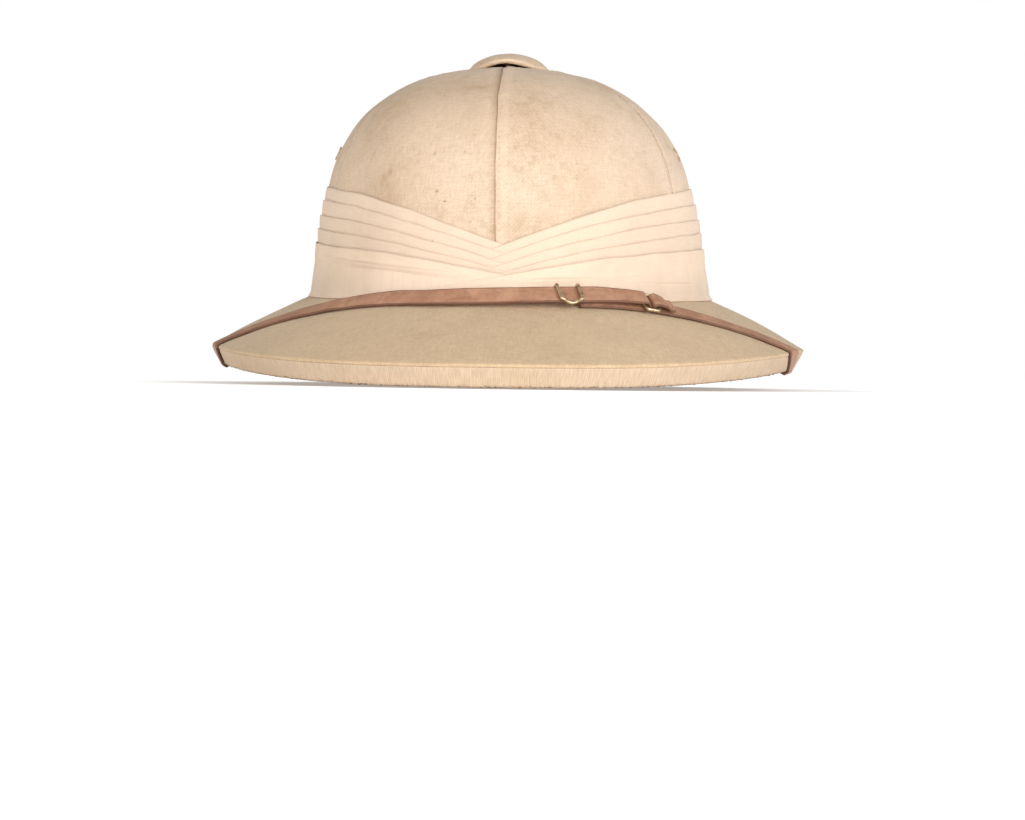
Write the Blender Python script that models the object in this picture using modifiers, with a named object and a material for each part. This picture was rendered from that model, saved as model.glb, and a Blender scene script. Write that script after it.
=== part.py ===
"""Pith helmet: a thick shell of pith under cloth, with a pleated puggaree and a leather chin strap.

Run it with: blender --background --python part.py

Every piece is worked out in the crown's own frame: metres, Z up the crown, the front towards -Y, and
height zero at the level where crown and brim meet. Azimuths run from the front towards +X. At the end
the helmet is tilted on to the front and rear arcs of its rim, the way it lies on a table.
"""

import math

import bmesh
import bpy
from mathutils import Matrix, Vector

# Crown, measured on the pith
CROWN_HALF_WIDTH = 0.0846
CROWN_HALF_FRONT = 0.1030
CROWN_HALF_REAR = 0.1060
DOME_START = 0.0266  # height where the upright wall begins to turn in
DOME_RISE = 0.0789
DOME_POWER = 2.48
CROWN_LEAN = -0.018  # sideways lean for each metre of height, as the handmade helmet stands
VENT_RADIUS = 0.0120

# Brim, measured on the pith
RIM_HALF_WIDTH = 0.1343
RIM_HALF_FRONT = 0.1618
RIM_HALF_REAR = 0.1650
RIM_FRONT_HEIGHT = -0.0192
RIM_REAR_HEIGHT = -0.0432
RIM_ARCH = 0.0100  # how much the sides stand above the line from front to rear
RIM_ARCH_POWER = 3
JOIN_HEIGHT = 0.0048  # where the line of the brim would meet the crown's wall
JOIN_FILLET = 0.0080
BRIM_BULGE = 0.0012

# Walls and the gaps between them
PITH = 0.0074
CLOTH = 0.0010
GAP = 0.0003
SKIN = CLOTH + GAP  # how far a cloth's outer face stands off the pith
SEAM_HALF_GAP = 0.00016
EDGE_TURN_UNDER = 0.0040  # how far the binding goes in under the rim

# Puggaree: the folds' upper edges drop towards the front, where they come closer together
FOLDS = 5
TOP_EDGE_FRONT = 0.0256
TOP_EDGE_SIDE = 0.0570
TOP_EDGE_REAR = 0.0500
FOLD_PITCH_FRONT = 0.00295
FOLD_PITCH_SIDE = 0.0062
FOLD_SWEEP_POWER = 1.15
FOLD_PROUD = (0.0010, 0.0017, 0.0025, 0.0034, 0.0043)  # off the crown's cloth, from the top fold down
FOLD_TUCK = 0.0003  # how much a fold leans in at its foot
WRAP_CLEARANCE = 0.0005
INNER_CORNERS = (4, 2, 1)  # folds at whose height the pleats' inner face bends with the crown
BAND_PROUD = 0.0052
BAND_CLEARANCE = 0.0010  # its inner face, where the crown already spreads into the brim
BAND_SECTION = (  # height above the brim's join and distance off the crown's cloth, down and in again
    {"height": 0.0070, "proud": 0.0056},
    {"height": 0.0032, "proud": 0.0068},
    {"height": 0.0008, "proud": 0.0086},
    {"height": 0.0046, "proud": 0.0048},
    {"height": 0.0068, "proud": 0.0017},
)
BAND_TOP_MARGIN = 0.0005  # kept between those heights and the band's upper edge

# Ventilator cap and the spool that carries it
CAP_RADIUS = 0.0183
CAP_RISE = 0.0081
CAP_POWER = 1.75
CAP_SEAT = 0.1066  # height of the cap's lower edge
CAP_SKIRT = 0.0011
CAP_WALL = 0.0014
CAP_ARCH = 0.0028
CAP_ARCH_HALF_ANGLE = math.radians(36)
CAP_SHARES = (0.0, 0.35, 0.65, 0.87, 0.97, 1.0)  # of its radius, where its rows of facets end
CAP_COLUMNS = 24
SPOOL_RADIUS = 0.0060
SPOOL_FLANGE_RADIUS = 0.0170
SPOOL_FLANGE = 0.0016
SPOOL_FLANGE_DROP = 0.0010  # the pith curves down this far over the flange's width
SPOOL_POST_DROP = 0.0008  # the cap curves down this far over the post's width

# Eyelets on the side gores
EYELET_AZIMUTH = math.radians(75)
EYELET_HEIGHT = 0.0670
EYELET_RADIUS = 0.0026
EYELET_WIRE = 0.0007

# Chin strap
STRAP_WIDTH = 0.0086
STRAP_THICKNESS = 0.0016
STRAP_LIFT = STRAP_THICKNESS / 2 + GAP  # its middle off the cloth it lies on
STRAP_REACH = 0.215  # share of the brim between the crown and the strap's middle at the front
STRAP_LEAVES_CROWN = math.radians(25)
WRAP_AZIMUTH = math.radians(69)  # where it turns over the rim
WRAP_SLANT = math.radians(3.8)  # how far it drifts rearwards over the rim's thickness
WRAP_SPREAD = (1.12, 1.42)  # the strap crosses the rim's lower and upper edges aslant: its cut there
HOOK_AZIMUTH = math.radians(81)
HOOK_STATION = 3.12  # just outside the fillet
STRAP_LEAN = (  # against the crown the strap leans back from the brim, and its middle stands higher
    {"azimuth": math.radians(0), "lift": 0.0028, "lean": math.radians(24)},
    {"azimuth": math.radians(25), "lift": 0.0026, "lean": math.radians(20)},
    {"azimuth": math.radians(40), "lift": 0.0018, "lean": math.radians(9)},
    {"azimuth": math.radians(55), "lift": 0.0013, "lean": math.radians(2)},
    {"azimuth": math.radians(69), "lift": STRAP_LIFT, "lean": 0.0},
)

# Brass: a slide buckle, a ring and two hidden staples
WIRE = 0.0007
BUCKLE_AZIMUTH = math.radians(14.3)
BUCKLE_HALF_LENGTH = 0.0048
BUCKLE_TOP = 0.0058
BUCKLE_BOTTOM = 0.0044
BUCKLE_SAG = 0.0022
BUCKLE_BAR_WIRE = 0.00063
RING_AZIMUTH = math.radians(37)
RING_HALF_LENGTH = 0.0029
RING_HALF_WIDTH = 0.0056
RING_CORNER = 0.0012
FOLD_RADIUS = STRAP_THICKNESS / 2 + GAP + WIRE  # of the strap's middle round a wire
LAYER_STEP = 0.0026  # between the two layers of the doubled stretch
STRAP_STEP = math.radians(3.2)  # between stops near the ring and the buckle
STAPLE_WIRE = 0.0008
STAPLE_HALF_WIDTH = 0.0056

# Mesh rows and columns
COLUMNS = 48
GORES = 6
GORE_COLUMNS = COLUMNS // GORES
DOME_ROWS = 8
FILLET_ROWS = 2
BRIM_ROWS = 2
DOME, WALL, FILLET, BRIM = 1, 2, 3, 4  # the station where each stretch of the profile ends

FULL_TURN = 2 * math.pi
QUARTER_TURN = math.pi / 2


# ---- the form of the shell ------------------------------------------------------------------------


def fore_or_aft(azimuth, front, rear):
    return front if math.cos(azimuth) > 0 else rear


def crown_outline(azimuth, height, share=1.0):
    """A point of the crown's oval at this height, drawn in to a share of its full size."""
    half_length = fore_or_aft(azimuth, CROWN_HALF_FRONT, CROWN_HALF_REAR)
    return Vector((
        CROWN_HALF_WIDTH * math.sin(azimuth) * share + CROWN_LEAN * height,
        -half_length * math.cos(azimuth) * share,
        height,
    ))


def rim_corner(azimuth):
    """The outer corner of the brim's upper face."""
    half_length = fore_or_aft(azimuth, RIM_HALF_FRONT, RIM_HALF_REAR)
    y = -half_length * math.cos(azimuth)
    rearwards = (y + RIM_HALF_FRONT) / (RIM_HALF_FRONT + RIM_HALF_REAR)
    height = RIM_FRONT_HEIGHT + (RIM_REAR_HEIGHT - RIM_FRONT_HEIGHT) * rearwards
    height += RIM_ARCH * abs(math.sin(azimuth)) ** RIM_ARCH_POWER
    return Vector((RIM_HALF_WIDTH * math.sin(azimuth), y, height))


def brim_point(azimuth, reach):
    """A point of the brim's upper face, from the crown's wall (reach 0) to the rim (reach 1)."""
    point = crown_outline(azimuth, JOIN_HEIGHT).lerp(rim_corner(azimuth), reach)
    point.z += BRIM_BULGE * 4 * reach * (1 - reach)
    return point


def fillet_point(azimuth, share):
    """The hollow curve from the crown's wall to the brim."""
    corner = crown_outline(azimuth, JOIN_HEIGHT)
    upper = crown_outline(azimuth, JOIN_HEIGHT + JOIN_FILLET)
    lower = brim_point(azimuth, fillet_reach(azimuth))
    return upper.lerp(corner, share).lerp(corner.lerp(lower, share), share)


def fillet_reach(azimuth):
    length = (rim_corner(azimuth) - crown_outline(azimuth, JOIN_HEIGHT)).length
    return JOIN_FILLET / length


def shell_point(azimuth, station):
    """A point of the pith's outer face: dome to station 1, wall to 2, fillet to 3, brim to 4."""
    if station <= DOME:
        turn = station * QUARTER_TURN
        share = math.sin(turn) ** (2 / DOME_POWER)
        height = DOME_START + DOME_RISE * max(0.0, math.cos(turn)) ** (2 / DOME_POWER)
        return crown_outline(azimuth, height, share)
    if station <= WALL:
        foot = JOIN_HEIGHT + JOIN_FILLET
        return crown_outline(azimuth, DOME_START + (foot - DOME_START) * (station - DOME))
    if station <= FILLET:
        return fillet_point(azimuth, station - WALL)
    start = fillet_reach(azimuth)
    return brim_point(azimuth, start + (1 - start) * (station - FILLET))


def shell_normal(azimuth, station):
    """The outward direction at a point of the outer face."""
    step = 1e-3
    along = shell_point(azimuth + step, station) - shell_point(azimuth - step, station)
    down = shell_point(azimuth, station + step) - shell_point(azimuth, station - step)
    return down.cross(along).normalized()


def on_shell(azimuth, station, proud):
    """A point that stands off the outer face; a negative distance lies inside it."""
    return shell_point(azimuth, station) + shell_normal(azimuth, station) * proud


def rim_frame(azimuth):
    """The rim's upper corner, the way straight out from it in the brim's last row and the way up off it."""
    corner = shell_point(azimuth, BRIM)
    spoke = corner - shell_point(azimuth, BRIM - 1 / BRIM_ROWS)
    along = (shell_point(azimuth + 1e-3, BRIM) - shell_point(azimuth - 1e-3, BRIM)).normalized()
    out = (spoke - along * spoke.dot(along)).normalized()
    return corner, out, out.cross(along)


def wall_station(height):
    """The station of a height on the crown."""
    if height > DOME_START:
        rise = (height - DOME_START) / DOME_RISE
        return math.acos(rise ** (DOME_POWER / 2)) / QUARTER_TURN
    foot = JOIN_HEIGHT + JOIN_FILLET
    return DOME + (DOME_START - height) / (DOME_START - foot)


def on_crown(azimuth, height, proud):
    """A point beside the crown: at this height, and this far out from the cloth on it."""
    foot = JOIN_HEIGHT + JOIN_FILLET
    base = on_shell(azimuth, wall_station(max(height, foot)), SKIN + proud)
    return base + Vector((0, 0, min(height - foot, 0.0)))


# ---- meshes and objects ---------------------------------------------------------------------------


def new_material(name, colour, roughness, metallic=0.0):
    material = bpy.data.materials.new(name)
    material.use_nodes = True
    shader = material.node_tree.nodes["Principled BSDF"]
    shader.inputs["Base Color"].default_value = (*colour, 1.0)
    shader.inputs["Roughness"].default_value = roughness
    shader.inputs["Metallic"].default_value = metallic
    return material


def add_object(name, mesh, material, helmet):
    """Puts a mesh in the helmet's collection, under the empty that carries the helmet."""
    item = bpy.data.objects.new(name, mesh)
    helmet["collection"].objects.link(item)
    item.parent = helmet["carrier"]
    mesh.materials.clear()
    mesh.materials.append(material)
    mesh.shade_smooth()
    mesh.set_sharp_from_angle(angle=math.radians(40))
    return item


def placed_grid(columns, rows, place):
    """A sheet of quads whose corners place(column, row) puts where they go, with its seams closed."""
    sheet = bmesh.new()
    bmesh.ops.create_grid(sheet, x_segments=columns, y_segments=rows, size=0.5)
    for corner in sheet.verts:
        column = round((corner.co.x + 0.5) * columns)
        row = round((corner.co.y + 0.5) * rows)
        corner.co = place(column, row)
    bmesh.ops.remove_doubles(sheet, verts=sheet.verts, dist=1e-6)
    bmesh.ops.reverse_faces(sheet, faces=sheet.faces)
    return sheet


def as_mesh(name, sheet):
    mesh = bpy.data.meshes.new(name)
    sheet.to_mesh(mesh)
    sheet.free()
    return mesh


def add_sheet(name, columns, rows, place, wall, material, helmet, depth=0.0):
    """An open sheet given a wall: outwards if it is positive, inwards from a depth if it is negative."""
    mesh = as_mesh(name, placed_grid(columns, rows, place))
    item = add_object(name, mesh, material, helmet)
    thick = item.modifiers.new("wall", "SOLIDIFY")
    thick.thickness = abs(wall)
    thick.offset = math.copysign(1, wall) - 2 * depth / abs(wall)
    thick.use_even_offset = True
    return item


def add_band(name, section, material, helmet):
    """A closed band all round the helmet; section(azimuth) lists the corners of its cut."""
    corners = len(section(0.0))

    def place(column, row):
        return section(FULL_TURN * column / COLUMNS)[row % corners]

    mesh = as_mesh(name, placed_grid(COLUMNS, corners, place))
    return add_object(name, mesh, material, helmet)


def wire_mesh(name, points, radius, closed):
    """A round wire along these points, as a closed mesh."""
    curve = bpy.data.curves.new(name, "CURVE")
    curve.dimensions = "3D"
    curve.bevel_depth = radius
    curve.bevel_resolution = 2
    curve.use_fill_caps = True
    spline = curve.splines.new("POLY")
    spline.points.add(len(points) - 1)
    for corner, point in zip(spline.points, points):
        corner.co = (*point, 1.0)
    spline.use_cyclic_u = closed
    guide = bpy.data.objects.new(name, curve)
    bpy.context.scene.collection.objects.link(guide)
    mesh = bpy.data.meshes.new_from_object(guide.evaluated_get(bpy.context.evaluated_depsgraph_get()))
    bpy.data.objects.remove(guide)
    bpy.data.curves.remove(curve)
    welded = bmesh.new()
    welded.from_mesh(mesh)
    bmesh.ops.remove_doubles(welded, verts=welded.verts, dist=1e-6)
    bmesh.ops.recalc_face_normals(welded, faces=welded.faces)
    welded.to_mesh(mesh)
    welded.free()
    return mesh


# ---- pith and cloth -------------------------------------------------------------------------------


def profile_stations():
    """The rows of the whole profile, from the vent hole to the rim."""
    vent = math.asin((VENT_RADIUS / CROWN_HALF_WIDTH) ** (DOME_POWER / 2)) / QUARTER_TURN
    dome = [vent + (DOME - vent) * row / DOME_ROWS for row in range(DOME_ROWS + 1)]
    fillet = [WALL + row / FILLET_ROWS for row in range(FILLET_ROWS + 1)]
    brim = [FILLET + row / BRIM_ROWS for row in range(1, BRIM_ROWS + 1)]
    return dome + fillet + brim


def add_pith_shell(material, helmet):
    stations = profile_stations()

    def place(column, row):
        return shell_point(FULL_TURN * column / COLUMNS, stations[row])

    add_sheet("pith_shell", COLUMNS, len(stations) - 1, place, -PITH, material, helmet)


def add_crown_panels(material, helmet):
    """Six gores that meet at the vent; the brim's cover begins where they end."""
    stations = [station for station in profile_stations() if station < WALL] + [WALL - 0.022]

    def add_panel(gore):
        def place(column, row):
            share = column / GORE_COLUMNS
            azimuth = FULL_TURN * (gore + share) / GORES
            edge = shell_point(azimuth, stations[row])
            inset = SEAM_HALF_GAP / math.hypot(edge.x - CROWN_LEAN * edge.z, edge.y)
            return on_shell(azimuth + inset * (1 - 2 * share), stations[row], GAP)

        name = f"crown_panel_{gore + 1}"
        add_sheet(name, GORE_COLUMNS, len(stations) - 1, place, CLOTH, material, helmet)

    for gore in range(GORES):
        add_panel(gore)


def add_brim_cloths(material, lining_material, helmet):
    """The cover runs out over the edge binding; the lining stops where the binding turns under."""
    stations = [station for station in profile_stations() if station >= WALL]
    rows = len(stations) - 1

    def place_cover(column, row):
        azimuth = FULL_TURN * column / COLUMNS
        if row < rows:
            return on_shell(azimuth, stations[row], GAP)
        corner, out, up = rim_frame(azimuth)
        return corner + out * SKIN + up * GAP

    def place_lining(column, row):
        azimuth = FULL_TURN * column / COLUMNS
        if row < rows:
            return shell_point(azimuth, stations[row])
        corner, out, _ = rim_frame(azimuth)
        return corner - out * (EDGE_TURN_UNDER + GAP)

    add_sheet("brim_top_cover", COLUMNS, rows, place_cover, CLOTH, material, helmet)
    add_sheet("brim_lining", COLUMNS, rows, place_lining, -CLOTH, lining_material, helmet, PITH + GAP)


def add_edge_binding(material, helmet):
    """Cloth down the rim's edge and a little way in under it."""
    def section(azimuth):
        corner, out, up = rim_frame(azimuth)
        outline = (
            (GAP, 0.0),
            (SKIN, 0.0),
            (SKIN, -PITH - SKIN),
            (-EDGE_TURN_UNDER, -PITH - SKIN),
            (-EDGE_TURN_UNDER, -PITH - GAP),
            (GAP, -PITH - GAP),
        )
        return [corner + out * away + up * height for away, height in outline]

    add_band("edge_binding", section, material, helmet)


# ---- puggaree -------------------------------------------------------------------------------------


def fold_edge(azimuth, fold):
    """Height of a fold's upper edge: highest at the sides, in a V at the front."""
    sweep = abs(math.sin(azimuth)) ** FOLD_SWEEP_POWER
    if math.cos(azimuth) < 0:
        top = TOP_EDGE_REAR + (TOP_EDGE_SIDE - TOP_EDGE_REAR) * math.sin(azimuth) ** 2
        return top - FOLD_PITCH_SIDE * fold
    top = TOP_EDGE_FRONT + (TOP_EDGE_SIDE - TOP_EDGE_FRONT) * sweep
    return top - (FOLD_PITCH_FRONT + (FOLD_PITCH_SIDE - FOLD_PITCH_FRONT) * sweep) * fold


def add_puggaree(material, helmet):
    def pleats(azimuth):
        heights = [fold_edge(azimuth, fold) for fold in range(FOLDS + 1)]
        corners = [on_crown(azimuth, heights[0], WRAP_CLEARANCE)]
        for fold, proud in enumerate(FOLD_PROUD):
            corners.append(on_crown(azimuth, heights[fold], proud))
            foot = heights[fold + 1] + (GAP if fold == FOLDS - 1 else 0.0)
            corners.append(on_crown(azimuth, foot, proud - FOLD_TUCK))
        corners.append(on_crown(azimuth, heights[FOLDS] + GAP, WRAP_CLEARANCE))
        corners += [on_crown(azimuth, heights[fold], WRAP_CLEARANCE) for fold in INNER_CORNERS]
        return corners

    def band(azimuth):
        top = fold_edge(azimuth, FOLDS)
        corners = [on_crown(azimuth, top, BAND_CLEARANCE), on_crown(azimuth, top, BAND_PROUD)]
        for row in BAND_SECTION:
            height = min(JOIN_HEIGHT + row["height"], top - BAND_TOP_MARGIN)
            corners.append(on_crown(azimuth, height, row["proud"]))
        return corners

    add_band("puggaree_pleats", pleats, material, helmet)
    add_band("puggaree_band", band, material, helmet)


# ---- ventilator and eyelets -----------------------------------------------------------------------


def cap_surface(radius_share, skirt, azimuth):
    """A point of the cap's upper face, or that far down its skirt, with the front arched up."""
    height = CAP_SKIRT - skirt + CAP_RISE * (1 - radius_share ** CAP_POWER) ** (1 / CAP_POWER)
    turned = abs(math.remainder(azimuth, FULL_TURN)) / CAP_ARCH_HALF_ANGLE
    if turned < 1:
        height += CAP_ARCH * math.cos(turned * QUARTER_TURN) ** 2 * radius_share ** 6
    radius = CAP_RADIUS * radius_share
    return Vector((
        radius * math.sin(azimuth) + CROWN_LEAN * CAP_SEAT,
        -radius * math.cos(azimuth),
        CAP_SEAT + height,
    ))


def add_vent_cap(material, helmet):
    rows = [(share, 0.0) for share in CAP_SHARES] + [(1.0, CAP_SKIRT)]

    def place(column, row):
        return cap_surface(*rows[row], FULL_TURN * column / CAP_COLUMNS)

    add_sheet("vent_cap", CAP_COLUMNS, len(rows) - 1, place, -CAP_WALL, material, helmet)


def add_vent_spool(material, helmet):
    """A turned spool: a flange under the pith and a post up to the cap."""
    flange_top = DOME_START + DOME_RISE - PITH - SPOOL_FLANGE_DROP - GAP
    flange_foot = flange_top - SPOOL_FLANGE
    post_top = CAP_SEAT + CAP_SKIRT + CAP_RISE - CAP_WALL - SPOOL_POST_DROP - GAP
    profile = (
        (0.0, post_top),
        (SPOOL_RADIUS, post_top),
        (SPOOL_RADIUS, flange_top),
        (SPOOL_FLANGE_RADIUS, flange_top),
        (SPOOL_FLANGE_RADIUS, flange_foot),
        (0.0, flange_foot),
    )
    outline = bmesh.new()
    corners = [outline.verts.new((radius, 0.0, height)) for radius, height in profile]
    for first, second in zip(corners, corners[1:]):
        outline.edges.new((first, second))
    bmesh.ops.spin(
        outline, geom=outline.verts[:] + outline.edges[:], cent=(0, 0, 0), axis=(0, 0, 1),
        angle=FULL_TURN, steps=24, use_merge=True,
    )
    bmesh.ops.remove_doubles(outline, verts=outline.verts, dist=1e-6)
    bmesh.ops.recalc_face_normals(outline, faces=outline.faces)
    bmesh.ops.translate(outline, verts=outline.verts, vec=(CROWN_LEAN * CAP_SEAT, 0, 0))
    add_object("vent_spool", as_mesh("vent_spool", outline), material, helmet)


def add_eyelets(material, helmet):
    for name, side in (("eyelet_left", -1), ("eyelet_right", 1)):
        azimuth = side * EYELET_AZIMUTH
        station = wall_station(EYELET_HEIGHT)
        centre = on_shell(azimuth, station, SKIN + GAP + EYELET_WIRE)
        out = shell_normal(azimuth, station)
        across = out.cross(Vector((0, 0, 1))).normalized()
        up = across.cross(out)
        turns = [FULL_TURN * step / 10 for step in range(10)]
        points = [
            centre + (across * math.cos(turn) + up * math.sin(turn)) * EYELET_RADIUS
            for turn in turns
        ]
        add_object(name, wire_mesh(name, points, EYELET_WIRE, True), material, helmet)


# ---- chin strap -----------------------------------------------------------------------------------


def lean_at(azimuth, column):
    """A value of the strap's table, read between its rows."""
    turned = abs(azimuth)
    for before, after in zip(STRAP_LEAN, STRAP_LEAN[1:]):
        if turned <= after["azimuth"]:
            share = (turned - before["azimuth"]) / (after["azimuth"] - before["azimuth"])
            return before[column] + (after[column] - before[column]) * share
    return STRAP_LEAN[-1][column]


def strap_reach(azimuth):
    """How far out on the brim the strap's middle runs: round the crown, then straight to the rim."""
    turned = abs(azimuth)
    if turned <= STRAP_LEAVES_CROWN:
        return STRAP_REACH
    start = brim_point(STRAP_LEAVES_CROWN, STRAP_REACH)
    run = rim_corner(WRAP_AZIMUTH) - start
    inner = crown_outline(turned, JOIN_HEIGHT)
    spoke = rim_corner(turned) - inner
    offset = start - inner
    return (offset.x * run.y - offset.y * run.x) / (spoke.x * run.y - spoke.y * run.x)


def strap_station(azimuth):
    start = fillet_reach(azimuth)
    return FILLET + (strap_reach(azimuth) - start) / (1 - start)


def strap_stop(point, face, fold=None):
    """One stop of a strap's route: its middle, the way its outer face looks, a fold it crosses aslant."""
    return {"point": point, "face": face, "fold": fold}


def strap_on_top(azimuth, layer=0.0):
    """A stop on the upper side of the brim, in the lowest layer or a given height above it."""
    station = strap_station(azimuth)
    face = shell_normal(azimuth, station)
    outwards = (rim_corner(azimuth) - crown_outline(azimuth, JOIN_HEIGHT)).normalized()
    lean = lean_at(azimuth, "lean")
    leant = (face * math.cos(lean) + outwards * math.sin(lean)).normalized()
    foot = shell_point(azimuth, station) + face * (SKIN + lean_at(azimuth, "lift"))
    return strap_stop(foot + leant * layer, leant)


def rim_stop(side, share, turn):
    """A stop on the rim's edge: share 0 at its lower corner, 1 at its upper one, turned from straight up."""
    azimuth = WRAP_AZIMUTH + WRAP_SLANT * (1 - share)
    corner, out, up = rim_frame(side * azimuth)
    face = up * math.cos(turn) + out * math.sin(turn)
    foot = corner + out * SKIN + up * (SKIN - (PITH + 2 * SKIN) * (1 - share))
    spread = WRAP_SPREAD[0] + (WRAP_SPREAD[1] - WRAP_SPREAD[0]) * share
    return strap_stop(foot + face * STRAP_LIFT, face, up.cross(out) * spread)


def strap_round_rim(side):
    """From the staple under the brim straight to the rim, round it and on to its upper face."""
    bends = [rim_stop(side, 0.0, math.pi - QUARTER_TURN * step / 3) for step in range(4)]
    bends += [rim_stop(side, share, QUARTER_TURN) for share in (0.25, 0.5, 0.75)]
    bends += [rim_stop(side, 1.0, QUARTER_TURN * (1 - step / 3)) for step in range(4)]
    face = -shell_normal(side * HOOK_AZIMUTH, HOOK_STATION)
    hook = shell_point(side * HOOK_AZIMUTH, HOOK_STATION) + face * (PITH + SKIN + STRAP_LIFT)
    rows = 4
    stops = []
    for row in range(rows):
        share = row / rows
        turned = face.lerp(bends[0]["face"], share).normalized()
        stops.append(strap_stop(hook.lerp(bends[0]["point"], share), turned))
    return stops + bends


def turned_over(stops):
    """The same stops with the strap's other face out, as after a fold."""
    return [strap_stop(stop["point"], -stop["face"]) for stop in stops]


def run_on_top(first, last, steps, layers=(0.0, 0.0)):
    """Stops on the upper side from one azimuth to another, rising from one layer to the next."""
    stops = []
    for step in range(steps + 1):
        share = step / steps
        layer = layers[0] + (layers[1] - layers[0]) * share
        stops.append(strap_on_top(first + (last - first) * share, layer))
    return stops


def top_frame(azimuth, layer):
    """Middle of the strap with its directions along, across (towards the crown) and off the brim."""
    here = strap_on_top(azimuth, layer)
    step = math.radians(0.2)
    along = strap_on_top(azimuth + step, layer)["point"] - strap_on_top(azimuth - step, layer)["point"]
    along.normalize()
    off = (here["face"] - along * here["face"].dot(along)).normalized()
    return here["point"], along, off.cross(along), off


def fold_round_wire(azimuth, shift, heading):
    """Stops round one wire of the ring, from the upper layer to the lower one."""
    point, along, _, off = top_frame(azimuth, FOLD_RADIUS)
    centre = point + along * shift
    stops = []
    for step in range(7):
        turn = math.pi * step / 6
        face = off * math.cos(turn) + along * heading * math.sin(turn)
        stops.append(strap_stop(centre + face * FOLD_RADIUS, face))
    return stops


def add_strap(name, stops, material, helmet):
    """A flat strap along its stops, its middle on the route."""
    count = len(stops)
    sheet_rows = []
    for index, stop in enumerate(stops):
        before = stops[max(index - 1, 0)]["point"]
        after = stops[min(index + 1, count - 1)]["point"]
        across = stop["face"].cross(after - before).normalized()
        if stop["fold"]:
            across = stop["fold"] * math.copysign(1, stop["fold"].dot(across))
        side = across * STRAP_WIDTH / 2
        middle = stop["point"] - stop["face"].normalized() * STRAP_THICKNESS / 2
        sheet_rows.append((middle - side, middle + side))

    def place(column, row):
        return sheet_rows[row][column]

    return add_sheet(name, 1, count - 1, place, STRAP_THICKNESS, material, helmet)


def add_chin_straps(material, helmet):
    """The long strap doubles back through the ring to the buckle; the short one holds the ring."""
    upper = 2 * FOLD_RADIUS
    before_buckle = BUCKLE_AZIMUTH - STRAP_STEP
    past_buckle = BUCKLE_AZIMUTH + 0.75 * STRAP_STEP
    before_ring = RING_AZIMUTH - 0.7 * STRAP_STEP
    past_ring = RING_AZIMUTH + STRAP_STEP
    long_stops = strap_round_rim(-1)
    long_stops += run_on_top(math.radians(2) - WRAP_AZIMUTH, before_buckle - 2 * STRAP_STEP, 26)
    long_stops += run_on_top(before_buckle - STRAP_STEP, before_buckle, 2, (0.0006, LAYER_STEP))
    long_stops += run_on_top(BUCKLE_AZIMUTH, before_ring, 7, (LAYER_STEP, upper))
    long_stops += fold_round_wire(RING_AZIMUTH, -RING_HALF_LENGTH, 1)
    long_stops += turned_over(run_on_top(RING_AZIMUTH - STRAP_STEP, past_buckle, 5))
    add_strap("chin_strap_long", long_stops, material, helmet)

    short_stops = strap_round_rim(1)
    short_stops += run_on_top(WRAP_AZIMUTH - math.radians(2), past_ring, 12)
    short_stops += reversed(turned_over(fold_round_wire(RING_AZIMUTH, RING_HALF_LENGTH, -1)))
    flap_end = STRAP_THICKNESS + GAP
    flap = run_on_top(past_ring, past_ring + 1.6 * STRAP_STEP, 3, (upper, flap_end))
    add_strap("chin_strap_short", short_stops + turned_over(flap), material, helmet)


# ---- brass ----------------------------------------------------------------------------------------


def loop_points(frame, outline):
    """Corners given along, across and off the strap, put in place."""
    point, along, across, off = frame
    return [point + along * a + across * b + off * c for a, b, c in outline]


def add_slide_buckle(material, helmet):
    """A loop over the strap's outer layer, joined to a middle bar that dips under it."""
    frame = top_frame(BUCKLE_AZIMUTH, LAYER_STEP)
    over = STRAP_THICKNESS / 2 + GAP + WIRE
    half, top, bottom = BUCKLE_HALF_LENGTH, BUCKLE_TOP, BUCKLE_BOTTOM
    outline = [(-half, top, over), (0.0, top, over), (half, top, over)]
    for step in range(7):
        turn = math.pi * step / 6
        outline.append((half * math.cos(turn), -bottom - BUCKLE_SAG * math.sin(turn), over))
    loop = wire_mesh("buckle_loop", loop_points(frame, outline), WIRE, True)
    bar_outline = [
        (0.0, top, over),
        (0.0, top, -over),
        (0.0, -bottom - BUCKLE_SAG, -over),
        (0.0, -bottom - BUCKLE_SAG, over),
    ]
    bar = wire_mesh("buckle_bar", loop_points(frame, bar_outline), BUCKLE_BAR_WIRE, False)
    cutter = bpy.data.objects.new("buckle_bar", bar)
    cutter.parent = helmet["carrier"]
    helmet["helpers"].objects.link(cutter)
    cutter.hide_render = True
    cutter.display_type = "WIRE"
    buckle = add_object("slide_buckle", loop, material, helmet)
    joined = buckle.modifiers.new("bar", "BOOLEAN")
    joined.operation = "UNION"
    joined.solver = "EXACT"
    joined.object = cutter


def add_strap_ring(material, helmet):
    frame = top_frame(RING_AZIMUTH, FOLD_RADIUS)
    length, width, corner = RING_HALF_LENGTH, RING_HALF_WIDTH, RING_CORNER
    outline = []
    for quadrant, (a, b) in enumerate(((1, 1), (-1, 1), (-1, -1), (1, -1))):
        for step in range(3):
            turn = QUARTER_TURN * (quadrant + step / 2)
            outline.append((
                a * (length - corner) + corner * math.cos(turn),
                b * (width - corner) + corner * math.sin(turn),
                0.0,
            ))
    mesh = wire_mesh("strap_ring", loop_points(frame, outline), WIRE, True)
    add_object("strap_ring", mesh, material, helmet)


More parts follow.
